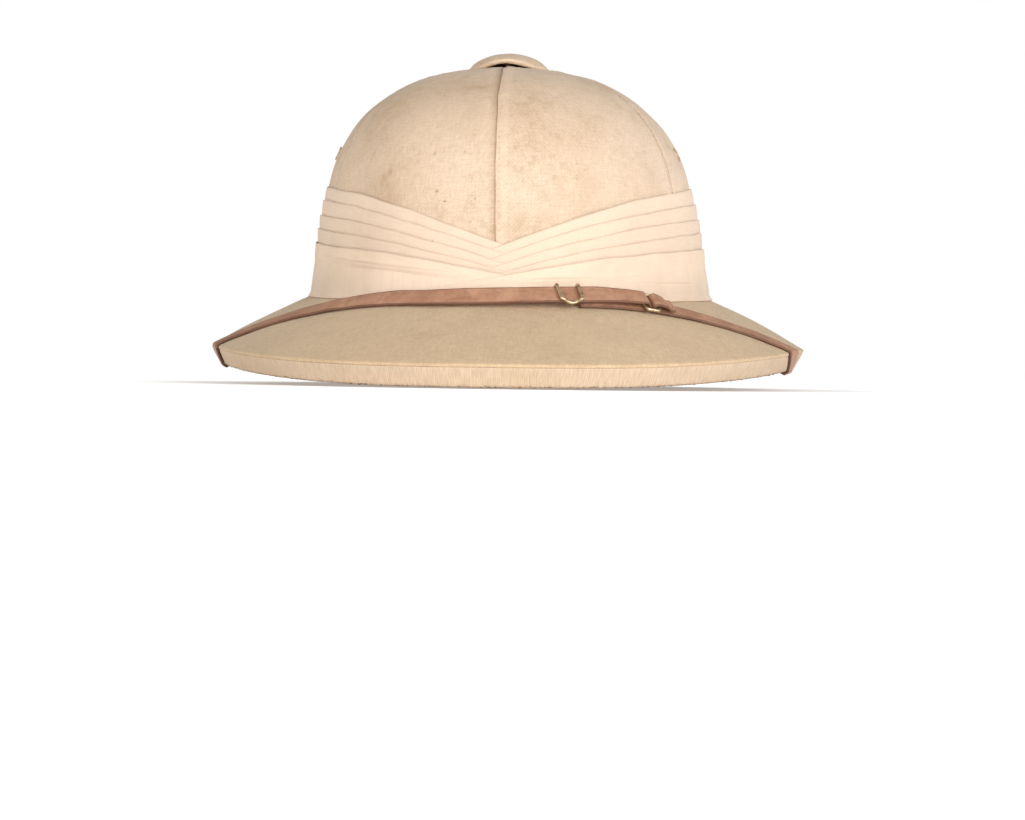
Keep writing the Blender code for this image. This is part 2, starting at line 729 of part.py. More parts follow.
def add_strap_hooks(material, helmet):
    """Plain staples under the brim, one over each hidden end of the strap."""
    for name, side in (("strap_hook_left", -1), ("strap_hook_right", 1)):
        stops = strap_round_rim(side)
        stop = stops[1]
        off = stop["face"]
        along = (stops[2]["point"] - stops[0]["point"]).normalized()
        across = off.cross(along).normalized()
        foot = -STRAP_LIFT + GAP
        bar = STRAP_THICKNESS / 2 + GAP + STAPLE_WIRE
        half = STAPLE_HALF_WIDTH
        outline = [(0.0, half, foot), (0.0, half, bar), (0.0, -half, bar), (0.0, -half, foot)]
        points = loop_points((stop["point"], along, across, off), outline)
        add_object(name, wire_mesh(name, points, STAPLE_WIRE, False), material, helmet)


# ---- the helmet at rest ---------------------------------------------------------------------------


def lay_at_rest(helmet):
    """Tilts the helmet on to the front and rear of its rim and sets it down about the origin."""
    feet = []
    for azimuth in (0.0, math.pi):
        corner, out, up = rim_frame(azimuth)
        feet.append(corner + out * SKIN - up * (PITH + SKIN))
    front, rear = feet
    carrier = helmet["carrier"]
    carrier.rotation_euler.x = math.atan2(front.z - rear.z, rear.y - front.y)
    bpy.context.view_layer.update()
    graph = bpy.context.evaluated_depsgraph_get()
    points = []
    for item in helmet["collection"].objects:
        if item.type == "MESH":
            placed = item.evaluated_get(graph)
            points += [placed.matrix_world @ vertex.co for vertex in placed.data.vertices]
    low = Vector(min(point[axis] for point in points) for axis in range(3))
    high = Vector(max(point[axis] for point in points) for axis in range(3))
    carrier.location = (-(low.x + high.x) / 2, -(low.y + high.y) / 2, -low.z)


def main():
    for item in list(bpy.data.objects):
        bpy.data.objects.remove(item)
    scene = bpy.context.scene
    collection = bpy.data.collections.new("pith_helmet")
    helpers = bpy.data.collections.new("helpers")
    carrier = bpy.data.objects.new("carrier", None)
    scene.collection.children.link(collection)
    scene.collection.children.link(helpers)
    collection.objects.link(carrier)
    helmet = {"collection": collection, "helpers": helpers, "carrier": carrier}

    pith = new_material("pith", (0.62, 0.50, 0.34), 0.95)
    cloth = new_material("khaki_cloth", (0.66, 0.52, 0.36), 0.9)
    lining = new_material("lining_cloth", (0.45, 0.32, 0.19), 0.92)
    wrap = new_material("puggaree_cloth", (0.72, 0.59, 0.43), 0.9)
    leather = new_material("brown_leather", (0.25, 0.12, 0.07), 0.6)
    brass = new_material("tarnished_brass", (0.42, 0.31, 0.16), 0.45, 1.0)

    add_pith_shell(pith, helmet)
    add_crown_panels(cloth, helmet)
    add_brim_cloths(cloth, lining, helmet)
    add_edge_binding(cloth, helmet)
    add_puggaree(wrap, helmet)
    add_vent_cap(cloth, helmet)
    add_vent_spool(brass, helmet)
    add_eyelets(cloth, helmet)
    add_chin_straps(leather, helmet)
    add_slide_buckle(brass, helmet)
    add_strap_ring(brass, helmet)
    add_strap_hooks(brass, helmet)
    lay_at_rest(helmet)


main()
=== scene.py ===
"""Pith helmet: cloth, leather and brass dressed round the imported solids.

The file is laid out as an add-on and run as a script. The form of the shell is worked out in the crown's own
frame: metres, Z up the crown, the front towards -Y, height zero where crown and brim meet, azimuths from the
front towards +X. at_rest() then lays every piece where the solids lie, tilted on to its rim.
"""

import math

import bmesh
import bpy
import numpy as np
from mathutils import Matrix, Vector


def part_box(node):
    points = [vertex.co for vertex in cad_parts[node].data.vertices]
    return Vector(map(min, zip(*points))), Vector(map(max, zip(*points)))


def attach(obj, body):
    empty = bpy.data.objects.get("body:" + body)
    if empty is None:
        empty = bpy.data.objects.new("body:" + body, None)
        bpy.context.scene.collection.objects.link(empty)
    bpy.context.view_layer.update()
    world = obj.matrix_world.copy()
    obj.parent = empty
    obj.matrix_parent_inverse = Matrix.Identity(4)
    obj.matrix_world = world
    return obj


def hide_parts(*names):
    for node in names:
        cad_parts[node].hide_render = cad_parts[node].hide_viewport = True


bl_info = {
    "name": "Pith Helmet",
    "version": (1, 0, 0),
    "blender": (4, 5, 0),
    "location": "View3D > Sidebar > Helmet",
    "description": "Builds a cloth-covered pith helmet with a pleated puggaree and a leather chin strap",
    "category": "Add Mesh",
}

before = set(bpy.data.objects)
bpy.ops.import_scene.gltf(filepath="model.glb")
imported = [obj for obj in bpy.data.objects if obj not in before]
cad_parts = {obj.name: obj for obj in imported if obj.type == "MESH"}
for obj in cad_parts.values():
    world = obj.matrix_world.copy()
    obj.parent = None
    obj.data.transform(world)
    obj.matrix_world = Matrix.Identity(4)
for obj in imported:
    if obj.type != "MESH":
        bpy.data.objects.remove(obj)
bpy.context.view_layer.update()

# ---- the form of the shell, as the solids have it --------------------------------------------------

CROWN_HALF_WIDTH = 0.0846
CROWN_HALF_FRONT = 0.1030
CROWN_HALF_REAR = 0.1060
DOME_START = 0.0266
DOME_RISE = 0.0789
DOME_POWER = 2.48
CROWN_LEAN = -0.018
VENT_RADIUS = 0.0120
RIM_HALF_WIDTH = 0.1343
RIM_HALF_FRONT = 0.1618
RIM_HALF_REAR = 0.1650
RIM_FRONT_HEIGHT = -0.0192
RIM_REAR_HEIGHT = -0.0432
RIM_ARCH = 0.0100
RIM_ARCH_POWER = 3
JOIN_HEIGHT = 0.0048
JOIN_FILLET = 0.0080
BRIM_BULGE = 0.0012
PITH = 0.0074
CLOTH = 0.0010
GAP = 0.0003
SKIN = CLOTH + GAP
EDGE_TURN_UNDER = 0.0040
CAP_RADIUS = 0.0183
CAP_RISE = 0.0081
CAP_POWER = 1.75
CAP_SEAT = 0.1066
CAP_SKIRT = 0.0011
CAP_WALL = 0.0014
CAP_ARCH = 0.0026
CAP_ARCH_HALF_ANGLE = math.radians(46)
CAP_HEM = 0.00092
SPOOL_RADIUS = 0.0060
SPOOL_FLANGE_RADIUS = 0.0170
SPOOL_FLANGE = 0.0016
SPOOL_FLANGE_DROP = 0.0010
SPOOL_POST_DROP = 0.0008
EYELET_AZIMUTH = math.radians(75)
EYELET_HEIGHT = 0.0670
EYELET_RADIUS = 0.0026
EYELET_WIRE = 0.00050
STRAP_WIDTH = 0.0086
STRAP_THICKNESS = 0.0016
STRAP_LIFT = STRAP_THICKNESS / 2 + GAP
STRAP_HALF_DRAWN = 0.00052  # half the thickness that is drawn
STRAP_CORNER = 0.00040
STRAP_BEND = 0.0009  # the radius of the cloth that the strap bends over at the rim
STRAP_OFF_RIM = 0.0007  # from that cloth to the strap's middle
STRAP_FLAP_LAYER = STRAP_THICKNESS + GAP
STRAP_REACH = 0.215
STRAP_LEAVES_CROWN = math.radians(20)
WRAP_AZIMUTH = math.radians(65)
WRAP_SLANT = math.radians(3.8)
WRAP_SPREAD = (1.12, 1.42)
HOOK_AZIMUTH = math.radians(77)
HOOK_STATION = 3.12
STRAP_LEAN = (
    {"azimuth": math.radians(0), "lift": 0.0028, "lean": math.radians(24)},
    {"azimuth": math.radians(25), "lift": 0.0026, "lean": math.radians(20)},
    {"azimuth": math.radians(40), "lift": 0.0018, "lean": math.radians(9)},
    {"azimuth": math.radians(55), "lift": 0.0010, "lean": math.radians(2)},
    {"azimuth": math.radians(69), "lift": 0.0007, "lean": 0.0},
)
WIRE = 0.0007
BUCKLE_AZIMUTH = math.radians(17.2)
BUCKLE_HALF_LENGTH = 0.0044
BUCKLE_TOP = 0.0047
BUCKLE_BOTTOM = 0.0034
BUCKLE_SAG = 0.0015
BUCKLE_BAR_WIRE = 0.00063
RING_AZIMUTH = math.radians(37)
RING_HALF_LENGTH = 0.0029
RING_HALF_WIDTH = 0.0056
RING_CORNER = 0.0012
FOLD_RADIUS = STRAP_THICKNESS / 2 + GAP + WIRE
LAYER_STEP = 0.0026
STRAP_STEP = math.radians(3.2)
STAPLE_WIRE = 0.0008
STAPLE_HALF_WIDTH = 0.0056
GORES = 6
DOME, WALL, FILLET, BRIM = 1, 2, 3, 4
CAD_COLUMNS = 48
CAD_BRIM_ROWS = 2

FULL_TURN = 2 * math.pi
QUARTER_TURN = math.pi / 2
FOOT = JOIN_HEIGHT + JOIN_FILLET
MERGE = 1e-6  # corners closer than this are one
NEAR = 1e-3  # the step in azimuth or station that gives a direction on the shell

# Puggaree: heights of each fold's upper edge, in millimetres, by degrees from the front
FOLD_DEGREES = (-16, 0, 10, 20, 30, 40, 60, 90, 130, 180)
FOLD_LINES = (
    {"left": (19.0, 26.8, 32.1, 37.4, 41.7, 45.4, 49.8, 53.6, 51.8, 50.0),
     "right": (17.0, 24.5, 30.1, 35.5, 40.2, 44.0, 49.0, 53.6, 51.8, 50.0)},
    {"left": (15.6, 23.2, 28.2, 32.7, 36.7, 40.0, 44.5, 47.0, 45.4, 43.8),
     "right": (13.2, 20.7, 26.3, 31.2, 35.1, 38.2, 42.7, 46.3, 45.4, 43.8)},
    {"left": (13.0, 19.4, 24.1, 27.9, 31.5, 34.4, 38.0, 40.2, 38.9, 37.6),
     "right": (10.6, 17.0, 22.2, 26.5, 29.9, 32.8, 36.5, 39.5, 38.9, 37.6)},
    {"left": (10.4, 16.2, 20.1, 23.6, 26.6, 28.9, 32.1, 34.6, 33.0, 31.4),
     "right": (8.6, 13.8, 18.2, 22.0, 25.0, 27.4, 30.8, 33.6, 32.6, 31.4)},
    {"left": (9.4, 14.2, 17.2, 19.9, 22.0, 23.4, 25.7, 28.4, 26.8, 25.2),
     "right": (8.2, 12.7, 15.8, 18.4, 20.7, 22.3, 24.5, 26.4, 26.0, 25.2)},
)
# How far each fold stands off the cloth, in millimetres: left and right of the front, and at the rear
FOLD_PROUD = ((1.0, 1.4), (1.75, 2.15), (2.5, 2.95), (3.35, 3.8), (4.2, 4.7))
FOLD_REAR_PROUD = (1.0, 1.8, 2.6, 3.4, 4.4)
WRAP_WALL_FOOT = (JOIN_HEIGHT + 0.0095, 0.0051)  # where the wrap leaves the wall, and how far off the cloth
WRAP_TURN = (JOIN_HEIGHT + 0.0010, 0.0058)  # what it bends round on its way out to the brim
WRAP_REACH = 0.0101  # how far from the join its edge lies on the brim
WRAP_GUIDE_TOP = 0.0330
CROSSING_WALL = 0.00034  # how thin a strip is where the two sides cross
FOLD_OVERLAP = 5.5  # how many degrees a pleat's ends run on past the front
FOLD_GIRTH_RADIUS = 0.096  # what turns an angle into a distance on a pleat's map
WRAP_GIRTH_RADIUS = 0.098


# ---- sizes and colours that a user may change ------------------------------------------------------


def length(name, about, value, low=0.0, high=1.0):
    return bpy.props.FloatProperty(
        name=name, description=about, default=value, min=low, max=high, subtype="DISTANCE", unit="LENGTH",
        precision=5,
    )


def colour(name, about, value):
    return bpy.props.FloatVectorProperty(
        name=name, description=about, default=value, size=3, min=0.0, max=1.0, subtype="COLOR",
    )


class HelmetSizes(bpy.types.PropertyGroup):
    """Sizes of the cloth work and trimmings."""

    twill_pitch: length("Twill pitch", "Distance between the twill's diagonal ribs", 0.00165, 0.0003, 0.003)
    weave_pitch: length("Weave pitch", "Distance between the threads of the puggaree", 0.00062, 0.0003, 0.003)
    seam_rise: length("Seam rise", "How far the turned-in cloth lifts the gore beside its seam", 0.00018)
    seam_lap: length("Seam lap", "How far a gore's turned edge stands over its neighbour", 0.00009)
    pucker: length("Seam pucker", "Height of the small puckers that the stitching draws up", 0.00012)
    fold_wall: length("Fold thickness", "Thickness of one folded pleat", 0.00062, 0.0002, 0.002)
    fold_waver: length("Fold waver", "How far a pleat's edge wanders from its line", 0.00013)
    stitch_length: length("Stitch length", "Length of one visible stitch", 0.0013, 0.0003, 0.01)
    stitch_step: length("Stitch spacing", "From one stitch to the next", 0.0024, 0.0005, 0.02)
    thread: length("Thread thickness", "Half the thickness of the sewing thread", 0.00016, 0.00005, 0.001)
    binding_rib: length("Binding rib", "Distance between the ribs of the binding", 0.00085, 0.0003, 0.005)


class HelmetColours(bpy.types.PropertyGroup):
    """Colours of the cloths, leather and brass."""

    khaki: colour("Khaki cloth", "Cloth of the crown and the cap", (0.650, 0.503, 0.376))
    brim: colour("Brim cloth", "Cloth on the brim's upper face", (0.560, 0.412, 0.258))
    # this tone is also laid on the crown as painted shade, towards its top and on its left side
    dust_and_shade: colour("Dust", "The darker tone that dirt gives to the cloth", (0.400, 0.265, 0.145))
    puggaree: colour("Puggaree cloth", "Cloth of the pleated puggaree", (0.670, 0.528, 0.408))
    binding: colour("Edge binding", "Cloth round the rim", (0.560, 0.428, 0.305))
    # painted shade: the underside cloth's colour is set as it looks in shade under the brim
    underside: colour("Underside cloth", "Cloth under the brim", (0.360, 0.220, 0.120))
    stain: colour("Stain", "Rust and tea-brown spots on the cloth", (0.210, 0.110, 0.045))
    pith: colour("Pith", "The bare inside of the shell", (0.620, 0.500, 0.340))
    leather: colour("Leather", "The chin strap", (0.310, 0.148, 0.082))
    leather_worn: colour("Worn leather", "Where the strap's face is rubbed", (0.500, 0.278, 0.180))
    brass: colour("Brass", "Bright brass of the buckle and ring", (0.700, 0.560, 0.370))
    tarnish: colour("Tarnish", "Dull brown on the brass", (0.230, 0.155, 0.095))
    thread_dark: colour("Dark thread", "Thread along the rim and the side seams", (0.075, 0.040, 0.018))
    thread_pale: colour("Pale thread", "Thread of the front seam", (0.480, 0.340, 0.210))
    thread_eyelet: colour("Eyelet thread", "Thread of the rings round the eyelets", (0.720, 0.560, 0.430))


def sizes():
    return bpy.context.scene.helmet_sizes


def colour_of(name):
    return tuple(getattr(bpy.context.scene.helmet_colours, name))


# ---- the form of the shell, worked out for whole arrays of places ----------------------------------


def unit(vectors):
    return vectors / np.linalg.norm(vectors, axis=-1, keepdims=True)


def dot(first, second):
    return np.sum(first * second, axis=-1, keepdims=True)


def blend(first, second, share):
    return first + (second - first) * np.asarray(share)[..., None]


def smooth_step(low, high, value):
    share = np.clip((value - low) / (high - low), 0.0, 1.0)
    return share * share * (3 - 2 * share)


def ripple(across, along, seed, waves=9, longest=0.060, shortest=0.008):
    """Smooth unevenness, about -1 to 1, over two distances in metres; the seed settles it."""
    rng = np.random.default_rng(seed)
    total = 0.0
    for _ in range(waves):
        wavelength = longest * (shortest / longest) ** rng.random()
        turn = rng.random() * FULL_TURN
        phase = rng.random() * FULL_TURN
        total = total + np.sin(
            FULL_TURN * (across * math.cos(turn) + along * math.sin(turn)) / wavelength + phase
        )
    return total / math.sqrt(waves)


def crown_outline(azimuth, height, share=1.0):
    azimuth, height, share = np.broadcast_arrays(azimuth, height, share)
    half_length = np.where(np.cos(azimuth) > 0, CROWN_HALF_FRONT, CROWN_HALF_REAR)
    return np.stack([
        CROWN_HALF_WIDTH * np.sin(azimuth) * share + CROWN_LEAN * height,
        -half_length * np.cos(azimuth) * share,
        height + 0.0,
    ], axis=-1)


def rim_corner(azimuth):
    half_length = np.where(np.cos(azimuth) > 0, RIM_HALF_FRONT, RIM_HALF_REAR)
    y = -half_length * np.cos(azimuth)
    rearwards = (y + RIM_HALF_FRONT) / (RIM_HALF_FRONT + RIM_HALF_REAR)
    height = RIM_FRONT_HEIGHT + (RIM_REAR_HEIGHT - RIM_FRONT_HEIGHT) * rearwards
    height = height + RIM_ARCH * np.abs(np.sin(azimuth)) ** RIM_ARCH_POWER
    return np.stack([RIM_HALF_WIDTH * np.sin(azimuth), y, height], axis=-1)


def brim_point(azimuth, reach):
    point = blend(crown_outline(azimuth, JOIN_HEIGHT), rim_corner(azimuth), reach)
    point[..., 2] += BRIM_BULGE * 4 * reach * (1 - reach)
    return point


def fillet_reach(azimuth):
    spoke = rim_corner(azimuth) - crown_outline(azimuth, JOIN_HEIGHT)
    return JOIN_FILLET / np.linalg.norm(spoke, axis=-1)


def shell_point(azimuth, station):
    """The pith's outer face: dome to station 1, wall to 2, fillet to 3, brim to 4."""
    azimuth, station = (np.asarray(value, float) for value in np.broadcast_arrays(azimuth, station))
    turn = np.clip(station, 0.0, DOME) * QUARTER_TURN
    height = DOME_START + DOME_RISE * np.cos(turn).clip(0.0) ** (2 / DOME_POWER)
    dome = crown_outline(azimuth, height, np.sin(turn) ** (2 / DOME_POWER))
    wall = crown_outline(azimuth, DOME_START + (FOOT - DOME_START) * (station - DOME))
    share = np.clip(station - WALL, 0.0, 1.0)
    corner = crown_outline(azimuth, JOIN_HEIGHT)
    upper = crown_outline(azimuth, FOOT)
    start = fillet_reach(azimuth)
    fillet = blend(blend(upper, corner, share), blend(corner, brim_point(azimuth, start), share), share)
    brim = brim_point(azimuth, start + (1 - start) * (station - FILLET))
    station = station[..., None]
    return np.select([station <= DOME, station <= WALL, station <= FILLET], [dome, wall, fillet], brim)


def shell_normal(azimuth, station):
    along = shell_point(azimuth + NEAR, station) - shell_point(azimuth - NEAR, station)
    down = shell_point(azimuth, station + NEAR) - shell_point(azimuth, station - NEAR)
    return unit(np.cross(down, along))


def on_shell(azimuth, station, proud):
    return shell_point(azimuth, station) + shell_normal(azimuth, station) * np.asarray(proud)[..., None]


def rim_frame(azimuth):
    """The rim's upper corner, straight out from it along the brim and straight up off the brim."""
    corner = shell_point(azimuth, BRIM)
    spoke = corner - shell_point(azimuth, BRIM - 1 / CAD_BRIM_ROWS)
    along = unit(shell_point(azimuth + NEAR, BRIM) - shell_point(azimuth - NEAR, BRIM))
    out = unit(spoke - along * dot(spoke, along))
    return corner, out, np.cross(out, along)


def wall_station(height):
    rise = np.clip((height - DOME_START) / DOME_RISE, 0.0, 1.0)
    dome = np.arccos(rise ** (DOME_POWER / 2)) / QUARTER_TURN
    return np.where(height > DOME_START, dome, DOME + (DOME_START - height) / (DOME_START - FOOT))


def on_crown(azimuth, height, proud):
    """A point beside the crown: at this height, and this far out from the cloth on it."""
    base = on_shell(azimuth, wall_station(np.maximum(height, FOOT)), SKIN + proud)
    base[..., 2] += np.minimum(height - FOOT, 0.0)
    return base


def dome_stations(count):
    vent = math.asin((VENT_RADIUS / CROWN_HALF_WIDTH) ** (DOME_POWER / 2)) / QUARTER_TURN
    return np.linspace(vent, DOME, count)


def tilt_at_rest():
    """The angle that sets the front and the rear of the rim on one level."""
    feet = []
    for azimuth in (0.0, math.pi):
        corner, out, up = rim_frame(azimuth)
        feet.append(corner + out * SKIN - up * (PITH + SKIN))
    front, rear = feet
    return math.atan2(front[2] - rear[2], rear[1] - front[1])


TILT = tilt_at_rest()


def tilted(points):
    y, z = points[..., 1], points[..., 2]
    return np.stack([
        points[..., 0], y * math.cos(TILT) - z * math.sin(TILT), y * math.sin(TILT) + z * math.cos(TILT),
    ], axis=-1)


def rest_shift():
    """How far the solids lie from the crown's frame, read from the shell's own outer corners."""
    azimuth, station = np.meshgrid(
        FULL_TURN * np.arange(CAD_COLUMNS) / CAD_COLUMNS, [dome_stations(2)[0], DOME, WALL, FILLET, BRIM],
    )
    corners = tilted(shell_point(azimuth, station)).reshape(-1, 3)
    low, high = (np.array(corner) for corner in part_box("pith_shell"))
    shift = (low + high - corners.min(0) - corners.max(0)) / 2
    shift[2] = high[2] - corners[:, 2].max()
    return shift


REST_SHIFT = rest_shift()


def at_rest(points):
    return tilted(np.asarray(points, float)) + REST_SHIFT


# ---- meshes and pieces -----------------------------------------------------------------------------


def placed_grid(points, *maps):
    """A sheet of quads whose corner in each row and column goes to its point, with its maps in metres."""
    rows, columns = points.shape[0] - 1, points.shape[1] - 1
    sheet = bmesh.new()
    bmesh.ops.create_grid(sheet, x_segments=columns, y_segments=rows, size=0.5)
    places = {}
    for corner in sheet.verts:
        column = round((corner.co.x + 0.5) * columns)
        row = round((corner.co.y + 0.5) * rows)
        places[corner] = (row, column)
        corner.co = points[row, column]
    for name, values in zip(("cut", "seams"), maps):
        layer = sheet.loops.layers.uv.new(name)
        for face in sheet.faces:
            for loop in face.loops:
                loop[layer].uv = values[places[loop.vert]]
    bmesh.ops.remove_doubles(sheet, verts=sheet.verts, dist=MERGE)
    bmesh.ops.reverse_faces(sheet, faces=sheet.faces)
    return sheet


def outward(sheet):
    bmesh.ops.recalc_face_normals(sheet, faces=sheet.faces)
    return sheet


def add_piece(name, sheet, finish, slot, *replaces):
    """Puts a sheet in the scene on the helmet's body, with its finish and the nodes it stands for."""
    mesh = bpy.data.meshes.new(name)
    sheet.to_mesh(mesh)
    sheet.free()
    mesh.shade_smooth()
    mesh.materials.append(finish_named(finish))
    piece = bpy.data.objects.new(name, mesh)
    bpy.context.scene.collection.objects.link(piece)
    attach(piece, "root")
    if replaces:
        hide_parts(*replaces)
    return piece


def give_wall(piece, wall, edge):
    """A wall inwards from the sheet, with its cut edges rounded over."""
    thick = piece.modifiers.new("wall", "SOLIDIFY")
    thick.thickness = wall
    thick.offset = -1
    thick.use_even_offset = True
    rounded = piece.modifiers.new("edge", "BEVEL")
    rounded.width = edge
    rounded.segments = 2
    rounded.limit_method = "ANGLE"
    rounded.angle_limit = math.radians(60)


def distance_along(points):
    """Distance run along the first axis of an array of points."""
    steps = np.linalg.norm(np.diff(points, axis=0), axis=-1)
    return np.concatenate([np.zeros((1,) + steps.shape[1:]), np.cumsum(steps, axis=0)])


def curve_through(rows, fine):
    """A smooth line through rows of numbers, with this many steps between two rows."""
    rows = np.asarray(rows, float)
    padded = np.concatenate([2 * rows[:1] - rows[1:2], rows, 2 * rows[-1:] - rows[-2:-1]])
    line = []
    for index in range(len(rows) - 1):
        p0, p1, p2, p3 = padded[index:index + 4]
        for step in range(fine):
            t = step / fine
            line.append(0.5 * (
                2 * p1 + (p2 - p0) * t + (2 * p0 - 5 * p1 + 4 * p2 - p3) * t ** 2
                + (3 * p1 - p0 - 3 * p2 + p3) * t ** 3
            ))
    line.append(rows[-1])
    return np.array(line)


def swept(centres, across, off, section, closed=False, flat=False):
    """A section of (across, off) distances carried along a line; open ends are closed to their middle.

    The map runs along the line and round the section, or across it where the section is flat."""
    ring = np.array([*section, section[0]])
    points = centres[:, None] + across[:, None] * ring[None, :, :1] + off[:, None] * ring[None, :, 1:]
    if closed:
        points = np.concatenate([points, points[:1]])
    else:
        caps = [np.repeat(centres[end][None, None], len(ring), axis=1) for end in (0, -1)]
        points = np.concatenate([caps[0], points, caps[1]])
    run = distance_along(points)[:, :1]
    around = ring[:, 0] - ring[:, 0].min() if flat else distance_along(ring)
    surface = np.stack(np.broadcast_arrays(run, around[None]), axis=-1)
    return outward(placed_grid(points, surface))


def wire(points, radius, closed=False, sides=10):
    """A round wire along a line of points in the crown's frame."""
    points = at_rest(points)
    if closed:
        tangents = unit(np.roll(points, -1, axis=0) - np.roll(points, 1, axis=0))
    else:
        tangents = unit(np.gradient(points, axis=0))
    guide = unit(np.cross(tangents[0], tangents[len(tangents) // 3] + np.array([0.01, 0.02, 0.03])))
    across = np.empty_like(points)
    for index, tangent in enumerate(tangents):
        guide = unit(guide - tangent * np.dot(guide, tangent))
        across[index] = guide
    turns = FULL_TURN * np.arange(sides) / sides
    section = np.stack([np.cos(turns), np.sin(turns)], axis=-1) * radius
    return swept(points, across, np.cross(across, tangents), section, closed)


def joined(sheets):
    """One bmesh from several."""
    whole = bmesh.new()
    for sheet in sheets:
        part = bpy.data.meshes.new("part")
        sheet.to_mesh(part)
        sheet.free()
        whole.from_mesh(part)
        bpy.data.meshes.remove(part)
    return whole


def sewn(stitches):
    """Short rounded threads, each by its middle, its direction, the way off the cloth and its half sizes."""
    threads = bmesh.new()
    for middle, along, off, half_length, half_width in stitches:
        along, off = unit(tilted(along)), unit(tilted(off))
        axes = np.stack([along * half_length, np.cross(off, along) * half_width, off * half_width], axis=-1)
        place = Matrix.Translation(at_rest(middle)) @ Matrix(axes.tolist()).to_4x4()
        bmesh.ops.create_uvsphere(threads, u_segments=6, v_segments=5, radius=1.0, matrix=place)
    return outward(threads)


# ---- materials -------------------------------------------------------------------------------------

# the smear is laid heavier towards the crown's top, where it is partly painted shade
SMEAR_AND_SHADE = (0.330, 0.195, 0.090)
MOTTLE = (0.340, 0.215, 0.110)
SPECK = (0.200, 0.105, 0.045)
STITCH_HOLE = (0.220, 0.130, 0.065)
SEAM_SHADE_AND_DIRT = (0.260, 0.150, 0.070)
SEAM_SHADOW_LINE = (0.180, 0.095, 0.045)
LAP_SHADOW_LINE = (0.200, 0.110, 0.055)
FOLD_SHADE_AND_DIRT = (0.330, 0.200, 0.120)
CREASE_SHADE = (0.420, 0.250, 0.160)
SEWN_EDGE_DIRT_AND_SHADE = (0.170, 0.095, 0.045)
FLECK = (0.640, 0.430, 0.320)
CUT_EDGE = (0.085, 0.030, 0.013)
SCRATCH = (0.30, 0.19, 0.08)

STAIN_CORES = 1650  # a stain's radius in millimetres over this is its dark core in metres

# Stains: azimuth in degrees, height and radius in millimetres, and how dark
CROWN_SPOTS = (
    (-14.0, 42.5, 1.7, 0.55), (-5.5, 43.5, 1.5, 0.50), (-16.3, 46.5, 2.2, 0.35), (-12.5, 44.6, 1.2, 0.45),
    (-18.0, 61.5, 2.6, 0.30), (-9.0, 62.0, 2.0, 0.30), (31.0, 72.0, 1.4, 0.40), (1.0, 77.0, 1.1, 0.60),
    (16.0, 52.0, 3.2, 0.18), (-32.0, 55.0, 3.8, 0.16), (74.0, 69.5, 1.6, 0.75), (77.0, 63.0, 2.0, 0.55),
    (-76.0, 65.0, 1.8, 0.50),
)
FOLD_SPOTS = (
    (-16.8, 26.6, 1.5, 0.85), (-29.0, 22.6, 1.6, 0.40), (-35.0, 23.2, 1.8, 0.45), (-41.0, 23.8, 1.6, 0.30),
)


def darker(value, share):
    return tuple(part * share for part in value)


